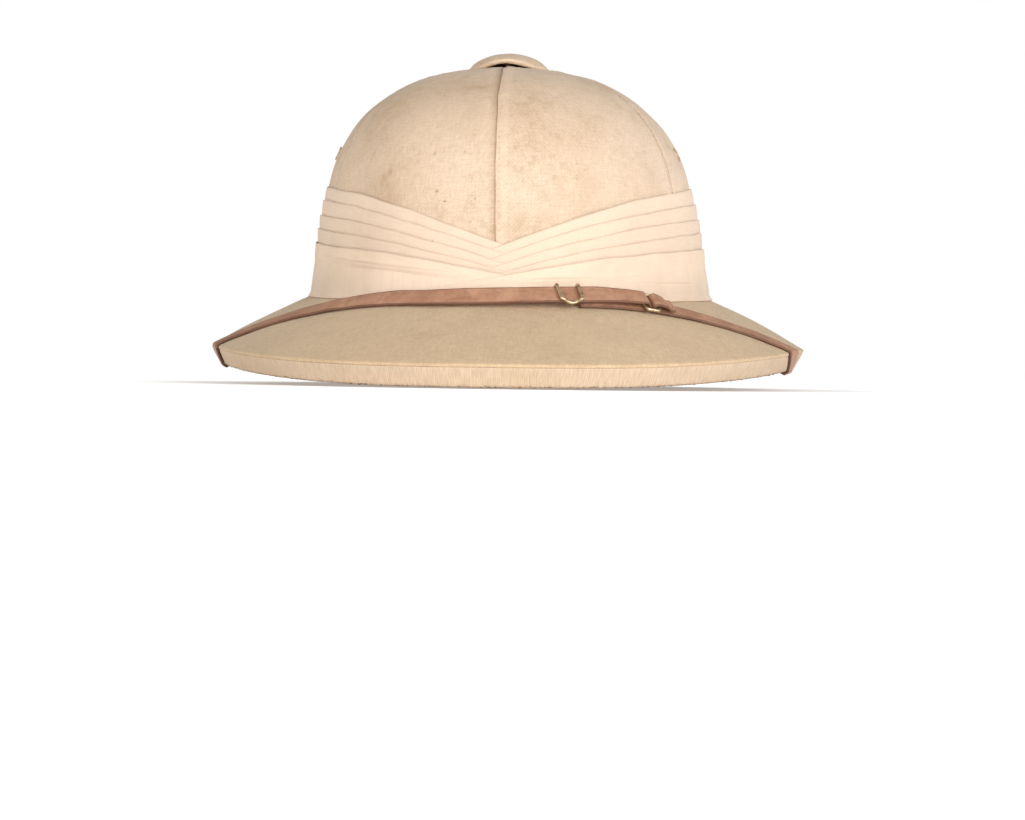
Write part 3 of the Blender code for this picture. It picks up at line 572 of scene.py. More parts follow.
class Finish:
    """A procedural material under construction, with its colour and its relief so far."""

    def __init__(self, name, base, roughness, metallic=0.0):
        self.material = bpy.data.materials.new(name)
        self.material.use_nodes = True
        self.tree = self.material.node_tree
        self.shader = self.tree.nodes["Principled BSDF"]
        self.put("Roughness", roughness)
        self.put("Metallic", metallic)
        self.base = base
        self.relief = None
        self.where = self.node("ShaderNodeTexCoord").outputs["Object"]

    def node(self, kind, settings=(), **inputs):
        """A node with its settings, and its inputs by name or, after an underscore, by number."""
        node = self.tree.nodes.new(kind)
        for key, value in dict(settings).items():
            setattr(node, key, value)
        for key, value in inputs.items():
            socket = int(key[1:]) if key[0] == "_" else key.replace("_", " ")
            self.fill(node.inputs[socket], value)
        return node

    def fill(self, socket, value):
        if isinstance(value, bpy.types.NodeSocket):
            self.tree.links.new(value, socket)
        elif socket.type == "RGBA" and len(value) == 3:
            socket.default_value = (*value, 1.0)
        else:
            socket.default_value = value

    def put(self, name, value):
        self.fill(self.shader.inputs[name], value)

    def maths(self, operation, first, second=0.0, third=0.0):
        return self.node("ShaderNodeMath", {"operation": operation}, _0=first, _1=second, _2=third).outputs[0]

    def times(self, first, *others):
        return self.maths("MULTIPLY", first, self.times(*others)) if others else first

    def plus(self, value, factor, start):
        """The start and this many times the value."""
        return self.maths("MULTIPLY_ADD", value, factor, start)

    def axis(self, name):
        return self.node("ShaderNodeSeparateXYZ", Vector=self.where).outputs[name]

    def map(self, name="cut"):
        """The cloth's or strap's own map in metres, and its two axes."""
        place = self.node("ShaderNodeUVMap", {"uv_map": name}).outputs["UV"]
        apart = self.node("ShaderNodeSeparateXYZ", Vector=place).outputs
        return place, apart["X"], apart["Y"]

    def noise(self, size, detail=3.0, roughness=0.5, stretch=(1, 1, 1), on=None):
        """Cloudy values from 0 to 1 whose lumps are about this many metres wide."""
        scale = [part / size for part in stretch]
        scaled = self.node("ShaderNodeVectorMath", {"operation": "MULTIPLY"}, _0=on or self.where, _1=scale)
        return self.node(
            "ShaderNodeTexNoise", Vector=scaled.outputs[0], Scale=1.0, Detail=detail, Roughness=roughness,
        ).outputs["Fac"]

    def threads(self, cut, size, warp, weft, share):
        """Noise drawn out along the warp and along the weft, with the warp's share of the two."""
        first, second = (self.noise(size, 2.0, stretch=stretch, on=cut) for stretch in (warp, weft))
        return self.maths("ADD", self.times(first, share), self.times(second, 1 - share))

    def between(self, value, low, high, to_low=0.0, to_high=1.0):
        """The value taken from one range to another, with soft ends."""
        return self.node(
            "ShaderNodeMapRange", {"interpolation_type": "SMOOTHSTEP"},
            Value=value, From_Min=low, From_Max=high, To_Min=to_low, To_Max=to_high,
        ).outputs["Result"]

    def fading(self, value, low, high, most=1.0):
        """The most up to the low value, and none from the high one on."""
        return self.between(value, low, high, most, 0.0)

    def wave(self, distance, pitch):
        """A wave from 0 to 1 along a distance in metres."""
        return self.plus(self.maths("SINE", self.times(distance, FULL_TURN / pitch)), 0.5, 0.5)

    def lay(self, colour, *shares):
        """Mixes a colour over what lies there, as far as the product of the shares says."""
        share = self.times(*shares)
        mix = self.node("ShaderNodeMix", {"data_type": "RGBA"}, _0=share, _6=self.base, _7=colour)
        self.base = mix.outputs[2]

    def spot_with(self, table, proud):
        """Lays single stains where the table puts them, their edges made uneven by a noise."""
        waver = self.noise(0.0011, roughness=0.7)
        for azimuth, height, radius, strength in table:
            centre = list(at_rest(on_crown(math.radians(azimuth), height / 1000, proud)))
            apart = self.node("ShaderNodeVectorMath", {"operation": "DISTANCE"}, _0=self.where, _1=centre)
            radius /= STAIN_CORES
            uneven = self.plus(waver, radius * 2.4, apart.outputs["Value"])
            self.lay(colour_of("stain"), self.fading(uneven, radius, radius * 2.1), min(strength * 2.0, 1.0))

    def raise_by(self, *reliefs):
        """Adds reliefs, each a height from 0 to 1 and the metres that 1 stands for."""
        for height, metres in reliefs:
            below = {"Normal": self.relief} if self.relief else {}
            bump = self.node("ShaderNodeBump", Strength=1.0, Distance=metres, Height=height, **below)
            self.relief = bump.outputs["Normal"]

    def done(self):
        self.put("Base Color", self.base)
        if self.relief:
            self.put("Normal", self.relief)
        return self.material


def twill_cloth(name, tone, spots=(), soil=1.0, seamed=False):
    """Cotton twill: diagonal ribs, uneven yarns, dirt with painted shade worked into it towards the top and
    on the left side, and brown specks.
    """
    cloth = Finish(name, darker(tone, 0.89), roughness=0.92)
    cut, across, down = cloth.map()
    rib = cloth.wave(cloth.maths("ADD", across, down), sizes().twill_pitch)
    yarn = cloth.threads(cut, 0.0007, (1.0, 0.14, 1.0), (0.14, 1.0, 1.0), 0.5)
    fuzz = cloth.noise(0.0011, roughness=0.75)
    broad = cloth.noise(0.075, detail=5.0, roughness=0.6)
    smudge = cloth.noise(0.020, detail=6.0, roughness=0.68)
    scuff = cloth.noise(0.0075, detail=6.0, roughness=0.78)
    mottle = cloth.noise(0.0044, detail=5.0, roughness=0.76)
    patch = cloth.noise(0.034, detail=4.0, roughness=0.6)
    grain = cloth.noise(0.0016, detail=2.0, roughness=0.6)
    zone = cloth.noise(0.030, detail=2.0)
    # high rises towards the crown's top: the dust and smear laid with it there are partly dirt and partly
    # painted shade
    high = cloth.between(cloth.axis("Z"), 0.080, 0.155)
    # painted shade: the helmet's left side (towards negative X) is darkened as if less light fell there
    left_side_shade = cloth.fading(cloth.axis("X"), -0.055, 0.0)
    cloth.lay(darker(tone, 1.07), cloth.between(yarn, 0.36, 0.64))
    cloth.lay(darker(tone, 0.60), cloth.between(fuzz, 0.48, 0.70, 0.0, 0.20))
    cloth.lay(darker(tone, 0.60), rib, cloth.between(smudge, 0.40, 0.62, 0.08, 0.26))
    # this dirt is partly painted shade: it takes in the darkening towards the top and on the left side as
    # well as the dust clouds
    dirt = cloth.times(cloth.between(broad, 0.42, 0.70), 0.26 * soil)
    for share, most in ((cloth.between(smudge, 0.50, 0.74), 0.26), (high, 0.40), (left_side_shade, 0.20)):
        dirt = cloth.plus(share, most * soil, dirt)
    cloth.lay(colour_of("dust_and_shade"), dirt)
    rubbed = cloth.times(cloth.between(scuff, 0.50, 0.76), cloth.between(smudge, 0.42, 0.66))
    cloth.lay(SMEAR_AND_SHADE, rubbed, cloth.plus(high, 0.42 * soil, 0.34 * soil))
    patchy = cloth.plus(cloth.between(patch, 0.44, 0.66), 0.34 * soil, 0.10)
    cloth.lay(MOTTLE, cloth.between(mottle, 0.42, 0.70), patchy)
    speck = cloth.times(cloth.between(grain, 0.68, 0.76), cloth.between(zone, 0.48, 0.62))
    cloth.lay(SPECK, speck, 0.55 * soil)
    cloth.spot_with(spots, 0.0)
    if seamed:
        paint_seam_light_shade_and_soil(cloth, tone, down, scuff)
    cloth.raise_by((rib, 0.00005), (yarn, 0.00006), (smudge, 0.00020))
    cloth.put("Sheen Weight", 0.12)
    cloth.put("Sheen Roughness", 0.5)
    return cloth.done()


def paint_seam_light_shade_and_soil(cloth, tone, down, scuff):
    """The turned edge of each gore made paler as a painted highlight, its stitch holes, and beside each lap a
    band of dirt and painted shade with a painted shadow line.
    """
    _, from_left, from_right = cloth.map("seams")
    beside_middle = cloth.maths("ABSOLUTE", cloth.maths("ADD", cloth.axis("X"), 0.003))
    to_front = cloth.fading(cloth.axis("Y"), -0.030, -0.010)
    share = cloth.plus(cloth.times(cloth.fading(beside_middle, 0.016, 0.026), to_front), 0.65, 0.35)
    # painted highlight: a paler strip along the raised turned edge of each gore, strongest at the front seam
    cloth.lay(darker(tone, 1.10), cloth.fading(from_left, 0.0044, 0.0052), share, 0.22)
    row = cloth.fading(cloth.maths("ABSOLUTE", cloth.maths("SUBTRACT", from_left, 0.0046)), 0.00016, 0.00036)
    hole = cloth.times(row, cloth.between(cloth.wave(down, 0.0019), 0.55, 0.85))
    cloth.lay(STITCH_HOLE, hole, 0.16)
    # painted shade: a soft band, partly dirt, and a thin dark line beside each lap where its shadow falls,
    # the band stronger near the top
    upper = cloth.between(cloth.axis("Z"), 0.105, 0.135, 0.45, 1.0)
    soft = cloth.fading(cloth.plus(scuff, 0.0030, from_right), 0.0008, 0.0056)
    cloth.lay(SEAM_SHADE_AND_DIRT, cloth.times(soft, share, upper), 0.88)
    line = cloth.fading(cloth.plus(scuff, 0.0006, from_right), 0.0002, 0.0014)
    cloth.lay(SEAM_SHADOW_LINE, line, share, 0.40)
    # painted shade: a thin dark line along the lapping edge itself
    cloth.lay(LAP_SHADOW_LINE, cloth.fading(from_left, 0.0, 0.00030), share, 0.20)


def pleat_cloth(name, tone, shaded_creases=False):
    """Fine plain-woven cotton in pressed folds: dirt and painted shade along each fold's edge and, when
    asked, painted shade along the upper side of each wrinkle.
    """
    cloth = Finish(name, darker(tone, 0.955), roughness=0.90)
    cut, across, down = cloth.map()
    over = cloth.times(*(cloth.wave(way, sizes().weave_pitch) for way in (across, down)))
    yarn = cloth.threads(cut, 0.0005, (0.06, 1.0, 1.0), (1.0, 0.12, 1.0), 0.6)
    uneven = cloth.noise(0.012, detail=4.0, roughness=0.6)
    broad = cloth.noise(0.060, detail=5.0, roughness=0.6)
    cloth.lay(darker(tone, 1.035), cloth.between(yarn, 0.32, 0.68))
    cloth.lay(darker(tone, 0.75), over, 0.06)
    # painted shade and dirt: a thin dark line along each fold's upper edge
    edge = cloth.fading(cloth.plus(uneven, 0.0003, down), 0.00020, 0.00070)
    cloth.lay(FOLD_SHADE_AND_DIRT, edge, cloth.between(uneven, 0.30, 0.66, 0.03, 0.24))
    cloth.lay(colour_of("dust_and_shade"), cloth.between(broad, 0.45, 0.72), 0.26)
    cloth.spot_with(FOLD_SPOTS, 0.002)
    # painted shade along the upper side of the wrap's wrinkles, read from the seams map
    if shaded_creases:
        cloth.lay(CREASE_SHADE, cloth.between(cloth.map("seams")[1], 0.0, 0.001, 0.0, 0.42))
    cloth.raise_by((over, 0.00004), (yarn, 0.00006), (uneven, 0.00018))
    cloth.put("Sheen Weight", 0.10)
    return cloth.done()


def ribbed_cloth(name, tone):
    """The binding: a ribbed cotton tape, darkened from its sewn lower edge round under the rim, with dirt and
    with painted shade on the part turned under.
    """
    cloth = Finish(name, darker(tone, 0.88), roughness=0.92)
    cut, across, down = cloth.map()
    rib = cloth.wave(across, sizes().binding_rib)
    fine = cloth.wave(cloth.plus(down, 0.45, across), sizes().twill_pitch)
    yarn = cloth.noise(0.0006, detail=2.0, stretch=(1.0, 0.12, 1.0), on=cut)
    cloth.lay(darker(tone, 1.08), cloth.between(yarn, 0.32, 0.68))
    cloth.lay(darker(tone, 0.66), rib, 0.20)
    cloth.lay(darker(tone, 0.66), fine, 0.08)
    broad = cloth.noise(0.040, detail=5.0, roughness=0.62)
    cloth.lay(colour_of("dust_and_shade"), cloth.between(broad, 0.46, 0.70), 0.24)
    # dirt and painted shade: dark from a ragged line near the tape's lower edge all the way round under the
    # rim
    fray = cloth.noise(0.0030, roughness=0.7)
    cloth.lay(SEWN_EDGE_DIRT_AND_SHADE, cloth.between(cloth.plus(fray, 0.0022, down), 0.0090, 0.0108), 0.62)
    cloth.raise_by((rib, 0.00006), (yarn, 0.00008))
    return cloth.done()


def plain_pith(name, tone):
    """Pith of the shell's bare inside: pale, fine-grained and pitted."""
    pith = Finish(name, darker(tone, 0.74), roughness=0.97)
    grain = pith.noise(0.0030, detail=5.0, roughness=0.7)
    lumps = pith.noise(0.016)
    pith.lay(darker(tone, 1.08), pith.between(grain, 0.35, 0.68))
    pith.lay(darker(tone, 0.62), pith.between(lumps, 0.45, 0.7), 0.30)
    pith.raise_by((grain, 0.00025), (lumps, 0.00050))
    return pith.done()


def worn_leather(name, tone):
    """Old harness leather: fine grain, cross creases, rubbed pale patches and dark cut edges."""
    hide = Finish(name, tone, roughness=0.58)
    cut, _, across = hide.map()
    grain = hide.node("ShaderNodeTexVoronoi", Vector=hide.where, Scale=1500.0).outputs["Distance"]
    fibre = hide.noise(0.0018, detail=4.0, roughness=0.65, stretch=(0.22, 1.0, 1.0), on=cut)
    crease = hide.noise(0.0026, roughness=0.6, stretch=(1.0, 0.14, 1.0), on=cut)
    rubbed = hide.noise(0.010, detail=6.0, roughness=0.72)
    fleck = hide.noise(0.0010, roughness=0.7, stretch=(0.45, 1.0, 1.0), on=cut)
    hide.lay(colour_of("leather_worn"), hide.between(rubbed, 0.38, 0.70, 0.15, 0.85))
    hide.lay(darker(tone, 0.50), hide.between(fibre, 0.50, 0.68), 0.38)
    hide.lay(darker(tone, 0.42), hide.between(crease, 0.56, 0.72), 0.28)
    hide.lay(FLECK, hide.between(fleck, 0.58, 0.74), 0.36)
    half = STRAP_WIDTH / 2
    apart = hide.maths("ABSOLUTE", hide.maths("SUBTRACT", across, half))
    hide.lay(CUT_EDGE, hide.between(hide.plus(fibre, 0.0005, apart), half - 0.0007, half), 0.80)
    hide.put("Roughness", hide.between(rubbed, 0.35, 0.70, 0.46, 0.72))
    hide.raise_by((grain, 0.00004), (crease, 0.00012), (fibre, 0.00008))
    return hide.done()


def tarnished_brass(name, tone, dull=0.5):
    """Brass gone brown in clouds, more of it the duller it is, with fine scratches."""
    metal = Finish(name, tone, roughness=0.42, metallic=1.0)
    cloud = metal.noise(0.0024, detail=5.0, roughness=0.7)
    scratch = metal.noise(0.0007, roughness=0.6, stretch=(1.0, 0.3, 1.0))
    metal.lay(colour_of("tarnish"), metal.between(cloud, 0.62 - dull * 0.36, 0.82 - dull * 0.30))
    metal.lay(SCRATCH, metal.between(scratch, 0.5, 0.7), 0.3)
    metal.put("Roughness", metal.between(cloud, 0.30, 0.75, 0.30, 0.70))
    metal.raise_by((cloud, 0.00006), (scratch, 0.00003))
    return metal.done()


def sewing_thread(name, tone):
    """Thread, a little lighter and darker along its twist."""
    thread = Finish(name, darker(tone, 0.7), roughness=0.85)
    twist = thread.noise(0.0005, detail=2.0)
    thread.lay(darker(tone, 1.2), thread.between(twist, 0.35, 0.65))
    thread.raise_by((twist, 0.00004))
    return thread.done()


# Each finish: how it is made, its colour, how much lighter that is, and what else its maker is told
FINISHES = {
    "bare_pith": (plain_pith, "pith", 1.0, {}),
    "khaki_twill": (twill_cloth, "khaki", 1.0, {"spots": CROWN_SPOTS, "seamed": True}),
    "cap_twill": (twill_cloth, "khaki", 1.0, {"soil": 0.7}),
    # painted highlight: the cap's hem is its khaki made 1.12 times lighter
    "cap_hem_twill": (twill_cloth, "khaki", 1.12, {"soil": 0.4}),
    "brim_twill": (twill_cloth, "brim", 1.0, {"soil": 0.55}),
    "underside_twill": (twill_cloth, "underside", 1.0, {"soil": 0.8}),
    "ribbed_binding": (ribbed_cloth, "binding", 1.0, {}),
    "puggaree_cotton": (pleat_cloth, "puggaree", 1.0, {}),
    # painted light: the wrap is the puggaree's cloth made 1.06 times lighter
    "wrap_cotton": (pleat_cloth, "puggaree", 1.06, {"shaded_creases": True}),
    "strap_leather": (worn_leather, "leather", 1.0, {}),
    "old_brass": (tarnished_brass, "brass", 1.0, {}),
    "dull_brass": (tarnished_brass, "brass", 1.0, {"dull": 1.4}),
    "dark_thread": (sewing_thread, "thread_dark", 1.0, {}),
    "pale_thread": (sewing_thread, "thread_pale", 1.0, {}),
    "eyelet_thread": (sewing_thread, "thread_eyelet", 1.0, {}),
}


def finish_named(name):
    """The material of that name, made when it is first asked for."""
    make, colour_name, lighter, settings = FINISHES[name]
    return bpy.data.materials.get(name) or make(name, darker(colour_of(colour_name), lighter), **settings)


# ---- shell and cloth -------------------------------------------------------------------------------


def add_pith():
    """The shell itself, seen inside the hollow and through the ventilator."""
    stations = np.concatenate([
        dome_stations(48), np.linspace(DOME, WALL, 8)[1:], np.linspace(WALL, FILLET, 6)[1:],
        np.linspace(FILLET, BRIM, 14)[1:],
    ])
    azimuth, station = np.meshgrid(np.linspace(0, FULL_TURN, 145), stations)
    sheet = placed_grid(at_rest(shell_point(azimuth, station)))
    give_wall(add_piece("pith_body", sheet, "bare_pith", "pith", "pith_shell"), PITH, 0.0006)


GORE_COLUMNS = 60
GORE_EDGE_SHARE = 0.60  # how much closer together the columns run beside the seams
GORE_FOOT = WALL - 0.022  # the station where the gores end, under the puggaree
TUCK = 0.0009  # how far a gore's right edge runs on under its neighbour
DENTS = 0.00018


def gore_relief(gore, from_left, from_right, down):
    """How far a gore stands off the plain form: seam ridges, laps, puckers and soft dents."""
    s = sizes()
    beside = np.minimum(from_left, np.abs(from_right))
    ridge = s.seam_rise * smooth_step(0.0082, 0.0058, beside)
    lap = s.seam_lap * smooth_step(0.0034, 0.0016, from_left) - 0.00010 * smooth_step(0.0005, 0.0, from_left)
    tuck = (s.seam_rise + 0.00006) * smooth_step(0.0010, 0.0002, from_right)
    draw = smooth_step(0.012, 0.0015, beside) * smooth_step(0.0, 0.0012, beside)
    pucker = s.pucker * draw * ripple(down, beside * 0.35, 11 + gore, longest=0.011, shortest=0.0040)
    dents = DENTS * (1 + ripple(from_left, down, 31 + gore, longest=0.070, shortest=0.020))
    tip = 0.0
    if gore == 0:
        tip = 0.0011 * smooth_step(0.0056, 0.0030, from_left) * np.exp(-((down / 0.0050) ** 2))
    return ridge + lap - tuck + pucker + tip + dents * smooth_step(0.0, 0.006, beside)


def seam_wander(seam, station):
    """How far a seam strays from its straight line, in metres."""
    return 0.00024 * ripple(station * 0.13, 0 * station, 501 + seam, longest=0.060, shortest=0.012)


def add_gores():
    """Six gores of twill: each one's left edge is turned in and laps over its neighbour's right edge."""
    linear = np.linspace(0, 1, GORE_COLUMNS + 1)
    shares = (1 - GORE_EDGE_SHARE) * linear + GORE_EDGE_SHARE * (0.5 - 0.5 * np.cos(math.pi * linear))
    shares = np.concatenate([shares, [1.0]])
    tucked = np.concatenate([np.zeros(GORE_COLUMNS + 1), [TUCK]])
    stations = np.concatenate([dome_stations(92), np.linspace(DOME, GORE_FOOT, 8)[1:]])
    share, station = np.meshgrid(shares, stations)
    for gore in range(GORES):
        plain_azimuth = FULL_TURN * (gore + share) / GORES
        plain = shell_point(plain_azimuth, station)
        radius = np.hypot(plain[..., 0] - CROWN_LEAN * plain[..., 2], plain[..., 1])
        wander = (1 - share) * seam_wander(gore, station) + share * seam_wander((gore + 1) % GORES, station)
        azimuth = plain_azimuth + (tucked + wander) / radius
        middle = FULL_TURN * (gore + 0.5) / GORES
        down = distance_along(shell_point(middle, stations))[:, None] + 0 * share
        from_left = distance_along(plain.transpose(1, 0, 2)).transpose(1, 0) + tucked
        from_right = from_left[:, -2:-1] - from_left
        relief = gore_relief(gore, from_left, from_right, down)
        points = at_rest(on_shell(azimuth, station, SKIN + np.maximum(relief, -0.0006)))
        surface = np.stack([from_left - from_left[:, -1:] / 2, down], axis=-1)
        sheet = placed_grid(points, surface, np.stack([from_left, from_right], axis=-1))
        name, panel = f"crown_gore_{gore + 1}", f"crown_panel_{gore + 1}"
        piece = add_piece(name, sheet, "khaki_twill", "khaki_cloth", panel)
        give_wall(piece, CLOTH * 0.35, 0.00012)


COVER_ROLL = 0.0009  # the radius at which the cover turns down over the rim
COVER_COLUMNS = 288
LINING_END = FILLET + 0.84


def add_brim_cloths():
    """The cover rolls over the rim's edge; the lining stops where the binding turns under."""
    around = np.linspace(-math.pi, math.pi, COVER_COLUMNS + 1)
    stations = np.concatenate([np.linspace(WALL, FILLET, 8), np.linspace(FILLET, BRIM, 30)[1:-1]])
    azimuth, station = np.meshgrid(around, stations)
    plain = shell_point(azimuth, station)
    along = distance_along(shell_point(around, FILLET + 0.5))[None]
    wander = 0.00014 * (1 + ripple(plain[..., 0], plain[..., 1], 5, longest=0.080, shortest=0.025))
    tail = smooth_step(FILLET + 0.92, FILLET + 0.70, station)
    corner, out, up = rim_frame(around)
    inner = SKIN - COVER_ROLL
    rolled = [
        corner + out * (inner + COVER_ROLL * math.sin(turn)) + up * (inner + COVER_ROLL * math.cos(turn))
        for turn in np.linspace(0, QUARTER_TURN, 6)
    ] + [corner + out * SKIN + up * 0.00006]
    cover = np.concatenate([on_shell(azimuth, station, SKIN + wander * tail), np.array(rolled)])
    edge = corner - out * (EDGE_TURN_UNDER + GAP) - up * (PITH + SKIN)
    lining = np.concatenate([on_shell(azimuth, station, -(PITH + SKIN))[stations < LINING_END], edge[None]])

    def cut_to(points):
        surface = np.stack([along.repeat(len(points), 0), distance_along(points)], axis=-1)
        return placed_grid(at_rest(points), surface)

    piece = add_piece("brim_cloth", cut_to(cover), "brim_twill", "khaki_cloth", "brim_top_cover")
    give_wall(piece, CLOTH * 0.55, 0.0002)
    under = cut_to(lining)
    bmesh.ops.reverse_faces(under, faces=under.faces)
    piece = add_piece("brim_underside", under, "underside_twill", "lining_cloth", "brim_lining")
    give_wall(piece, CLOTH * 0.9, 0.0002)


def add_binding():
    """A ribbed tape round the rim, turned in under it, with its rough line of stitches."""
    around = np.linspace(-math.pi, math.pi, 721)
    corner, out, up = rim_frame(around)
    run = distance_along(corner)
    waver = 0.00022 * ripple(corner[:, 0], corner[:, 1], 71, longest=0.012, shortest=0.0025)[:, None]
    soft = 0.00016 * ripple(corner[:, 0], corner[:, 1], 72, longest=0.050, shortest=0.012)[:, None]
    foot = -PITH - SKIN
    rows = (  # out from the rim's corner, up from it, and how much the tape bulges there
        (GAP, -0.0002, 0.0), (GAP + 0.0005, 0.0, 0.0), (SKIN - 0.0001, -0.0002, 0.0), (SKIN, -0.0007, 0.3),
        (SKIN, -0.0025, 1.0), (SKIN, -0.0045, 1.0), (SKIN, -0.0065, 1.0), (SKIN, -0.0078, 0.6),
        (SKIN - 0.0002, foot + 0.0004, 0.0), (SKIN - 0.0006, foot, 0.0), (0.0, foot, 0.0),
        (-EDGE_TURN_UNDER * 0.5, foot, 0.0), (-EDGE_TURN_UNDER + 0.0002, foot, 0.0),
        (-EDGE_TURN_UNDER, foot + 0.0003, 0.0), (-EDGE_TURN_UNDER + 0.0001, -PITH - GAP, 0.0),
        (GAP, -PITH - GAP, 0.0),
    )
    section = []
    for away, height, bulge in rows:
        ragged = waver if away <= -EDGE_TURN_UNDER + 0.0003 else 0 * waver
        low = 0.6 * waver if abs(height - foot) < 0.0005 and away > 0 else 0 * waver
        section.append(corner + out * (away + bulge * soft * 0.8 - ragged) + up * (height + low.clip(0)))
    points = np.array([*section, section[0]])
    down = distance_along(points)
    sheet = outward(placed_grid(at_rest(points), np.stack([run[None] + 0 * down, down], axis=-1)))
    tape = add_piece("edge_tape", sheet, "ribbed_binding", "khaki_cloth", "edge_binding")

    rng = np.random.default_rng(17)
    s = sizes()
    stitches = []
    place = 0.0
    while place < run[-1]:
        corner, out, up = rim_frame(float(np.interp(place, run, around)))
        heel = corner + out * (SKIN - 0.0002 + 0.0001 * rng.random())
        heel = heel + up * (foot + 0.0004 + 0.0007 * rng.random())
        lean = np.cross(up, out) * (0.9 + 0.5 * rng.random()) + up * (rng.random() - 0.35)
        half = s.stitch_length * (0.30 + 0.45 * rng.random())
        stitches.append((heel, lean, out - up * 0.5, half, s.thread * (0.8 + 0.7 * rng.random())))
        place += s.stitch_step * (0.55 + 0.9 * rng.random())
    row = add_piece("edge_stitches", sewn(stitches), "dark_thread", "khaki_cloth")


# ---- puggaree --------------------------------------------------------------------------------------


def line_height(line, azimuth):
    """A fold's upper edge, in metres; the azimuth is signed from the front, and runs on past it to -16."""
    degrees = np.degrees(azimuth)
    nodes = np.array(FOLD_DEGREES, float)
    values = np.array(line, float)
    slopes = np.gradient(values, nodes)
    slopes[-1] = 0.0
    index = np.clip(np.searchsorted(nodes, degrees) - 1, 0, len(nodes) - 2)
    width = nodes[index + 1] - nodes[index]
    t = (degrees - nodes[index]) / width
    first = (1 + 2 * t) * (1 - t) ** 2 * values[index] + t * (1 - t) ** 2 * width * slopes[index]
    second = t * t * (3 - 2 * t) * values[index + 1] + t * t * (t - 1) * width * slopes[index + 1]
    return (first + second) / 1000


def strip_azimuths(columns, left_over, right_over):
    """Places along a strip that runs from the front round the left, the rear and the right to the front."""
    return np.linspace(math.radians(left_over), -FULL_TURN - math.radians(right_over), columns + 1)


def strip_top(fold, turned):
    """The strip's upper edge where it has turned this far from the front round the left."""
    left = line_height(FOLD_LINES[fold]["left"], -turned)
    right = line_height(FOLD_LINES[fold]["right"], turned + FULL_TURN)
    return np.where(-turned <= math.pi, left, right)


def strip_proud(fold, turned):
    """How far the strip stands off the crown's cloth: a little further at its right end than at its left."""
    left, right = FOLD_PROUD[fold]
    rear = FOLD_REAR_PROUD[fold]
    from_left = smooth_step(0.0, 1.2, -turned)
    from_right = smooth_step(0.0, 1.2, turned + FULL_TURN)
    left = left + (rear - left) * from_left
    right = right + (rear - right) * from_right
    return np.where(-turned <= math.pi, left, right) / 1000


def strip_wall(turned):
    """Thin where the two sides cross at the front, as thick as a folded pleat elsewhere."""
    from_front = np.minimum(np.abs(turned), np.abs(turned + FULL_TURN))
    return CROSSING_WALL + (sizes().fold_wall - CROSSING_WALL) * smooth_step(0.10, 0.32, from_front)


def edge_waver(run, seed):
    return sizes().fold_waver * ripple(run, 0 * run, seed, longest=0.060, shortest=0.014)


def rolled_edge(top, proud, wall):
    """The rounded fold along a strip's top, in rows: height, distance off the crown and distance down."""
    roll = wall / 2
    for turn in np.linspace(math.pi, 0.0, 7):
        across, up = math.cos(turn), math.sin(turn)
        yield top - roll + roll * up, proud - roll + roll * across, 0.0002 * (1 - across)


def closed_strip(section, *maps):
    """The sheet round a strip's whole section, with its two ends filled."""
    section.append(section[0])
    for rows in maps:
        rows.append(rows[-1])
    sheet = placed_grid(at_rest(np.array(section)), *(np.array(rows) for rows in maps))
    bmesh.ops.holes_fill(sheet, edges=[edge for edge in sheet.edges if edge.is_boundary], sides=0)
    return outward(sheet)


def fold_sheet(fold):
    """One pleat: a rounded upper fold, its outer face and the hidden back of it."""
    turned = strip_azimuths(420, FOLD_OVERLAP, FOLD_OVERLAP)
    run = turned * -FOLD_GIRTH_RADIUS
    seed = 101 + 10 * fold
    top = strip_top(fold, turned) + edge_waver(run, seed)
    bottom = np.minimum(strip_top(fold + 1, turned) - 0.0022, top - 0.0028)
    proud, wall = strip_proud(fold, turned), strip_wall(turned)
    section, surface = [], []

    def add_row(height, away, down):
        section.append(on_crown(turned, height, away))
        surface.append(np.stack([run, down + 0 * run], axis=-1))

    add_row(bottom, proud - wall * 0.9, 0.012)
    add_row((bottom + top) / 2, proud - wall, 0.008)
    for row in rolled_edge(top, proud, wall):
        add_row(*row)
    for share in np.linspace(0, 1, 8)[1:]:
        height = top - wall / 2 + (bottom - top + wall / 2) * share
        belly = math.sin(math.pi * share)
        uneven = 0.00010 * ripple(run, height, seed + 1, longest=0.050, shortest=0.010)
        add_row(height, proud + (0.00012 + uneven) * belly - 0.00016 * share, top - height)
    return closed_strip(section, surface)


def add_folds():
    """Four pleats that run right round and cross at the front, one side's ends tucked under the other's."""
    for fold in range(4):
        name, replaced = f"puggaree_fold_{fold + 1}", ["puggaree_pleats"] if fold == 0 else []
        piece = add_piece(name, fold_sheet(fold), "puggaree_cotton", "puggaree_cloth", *replaced)


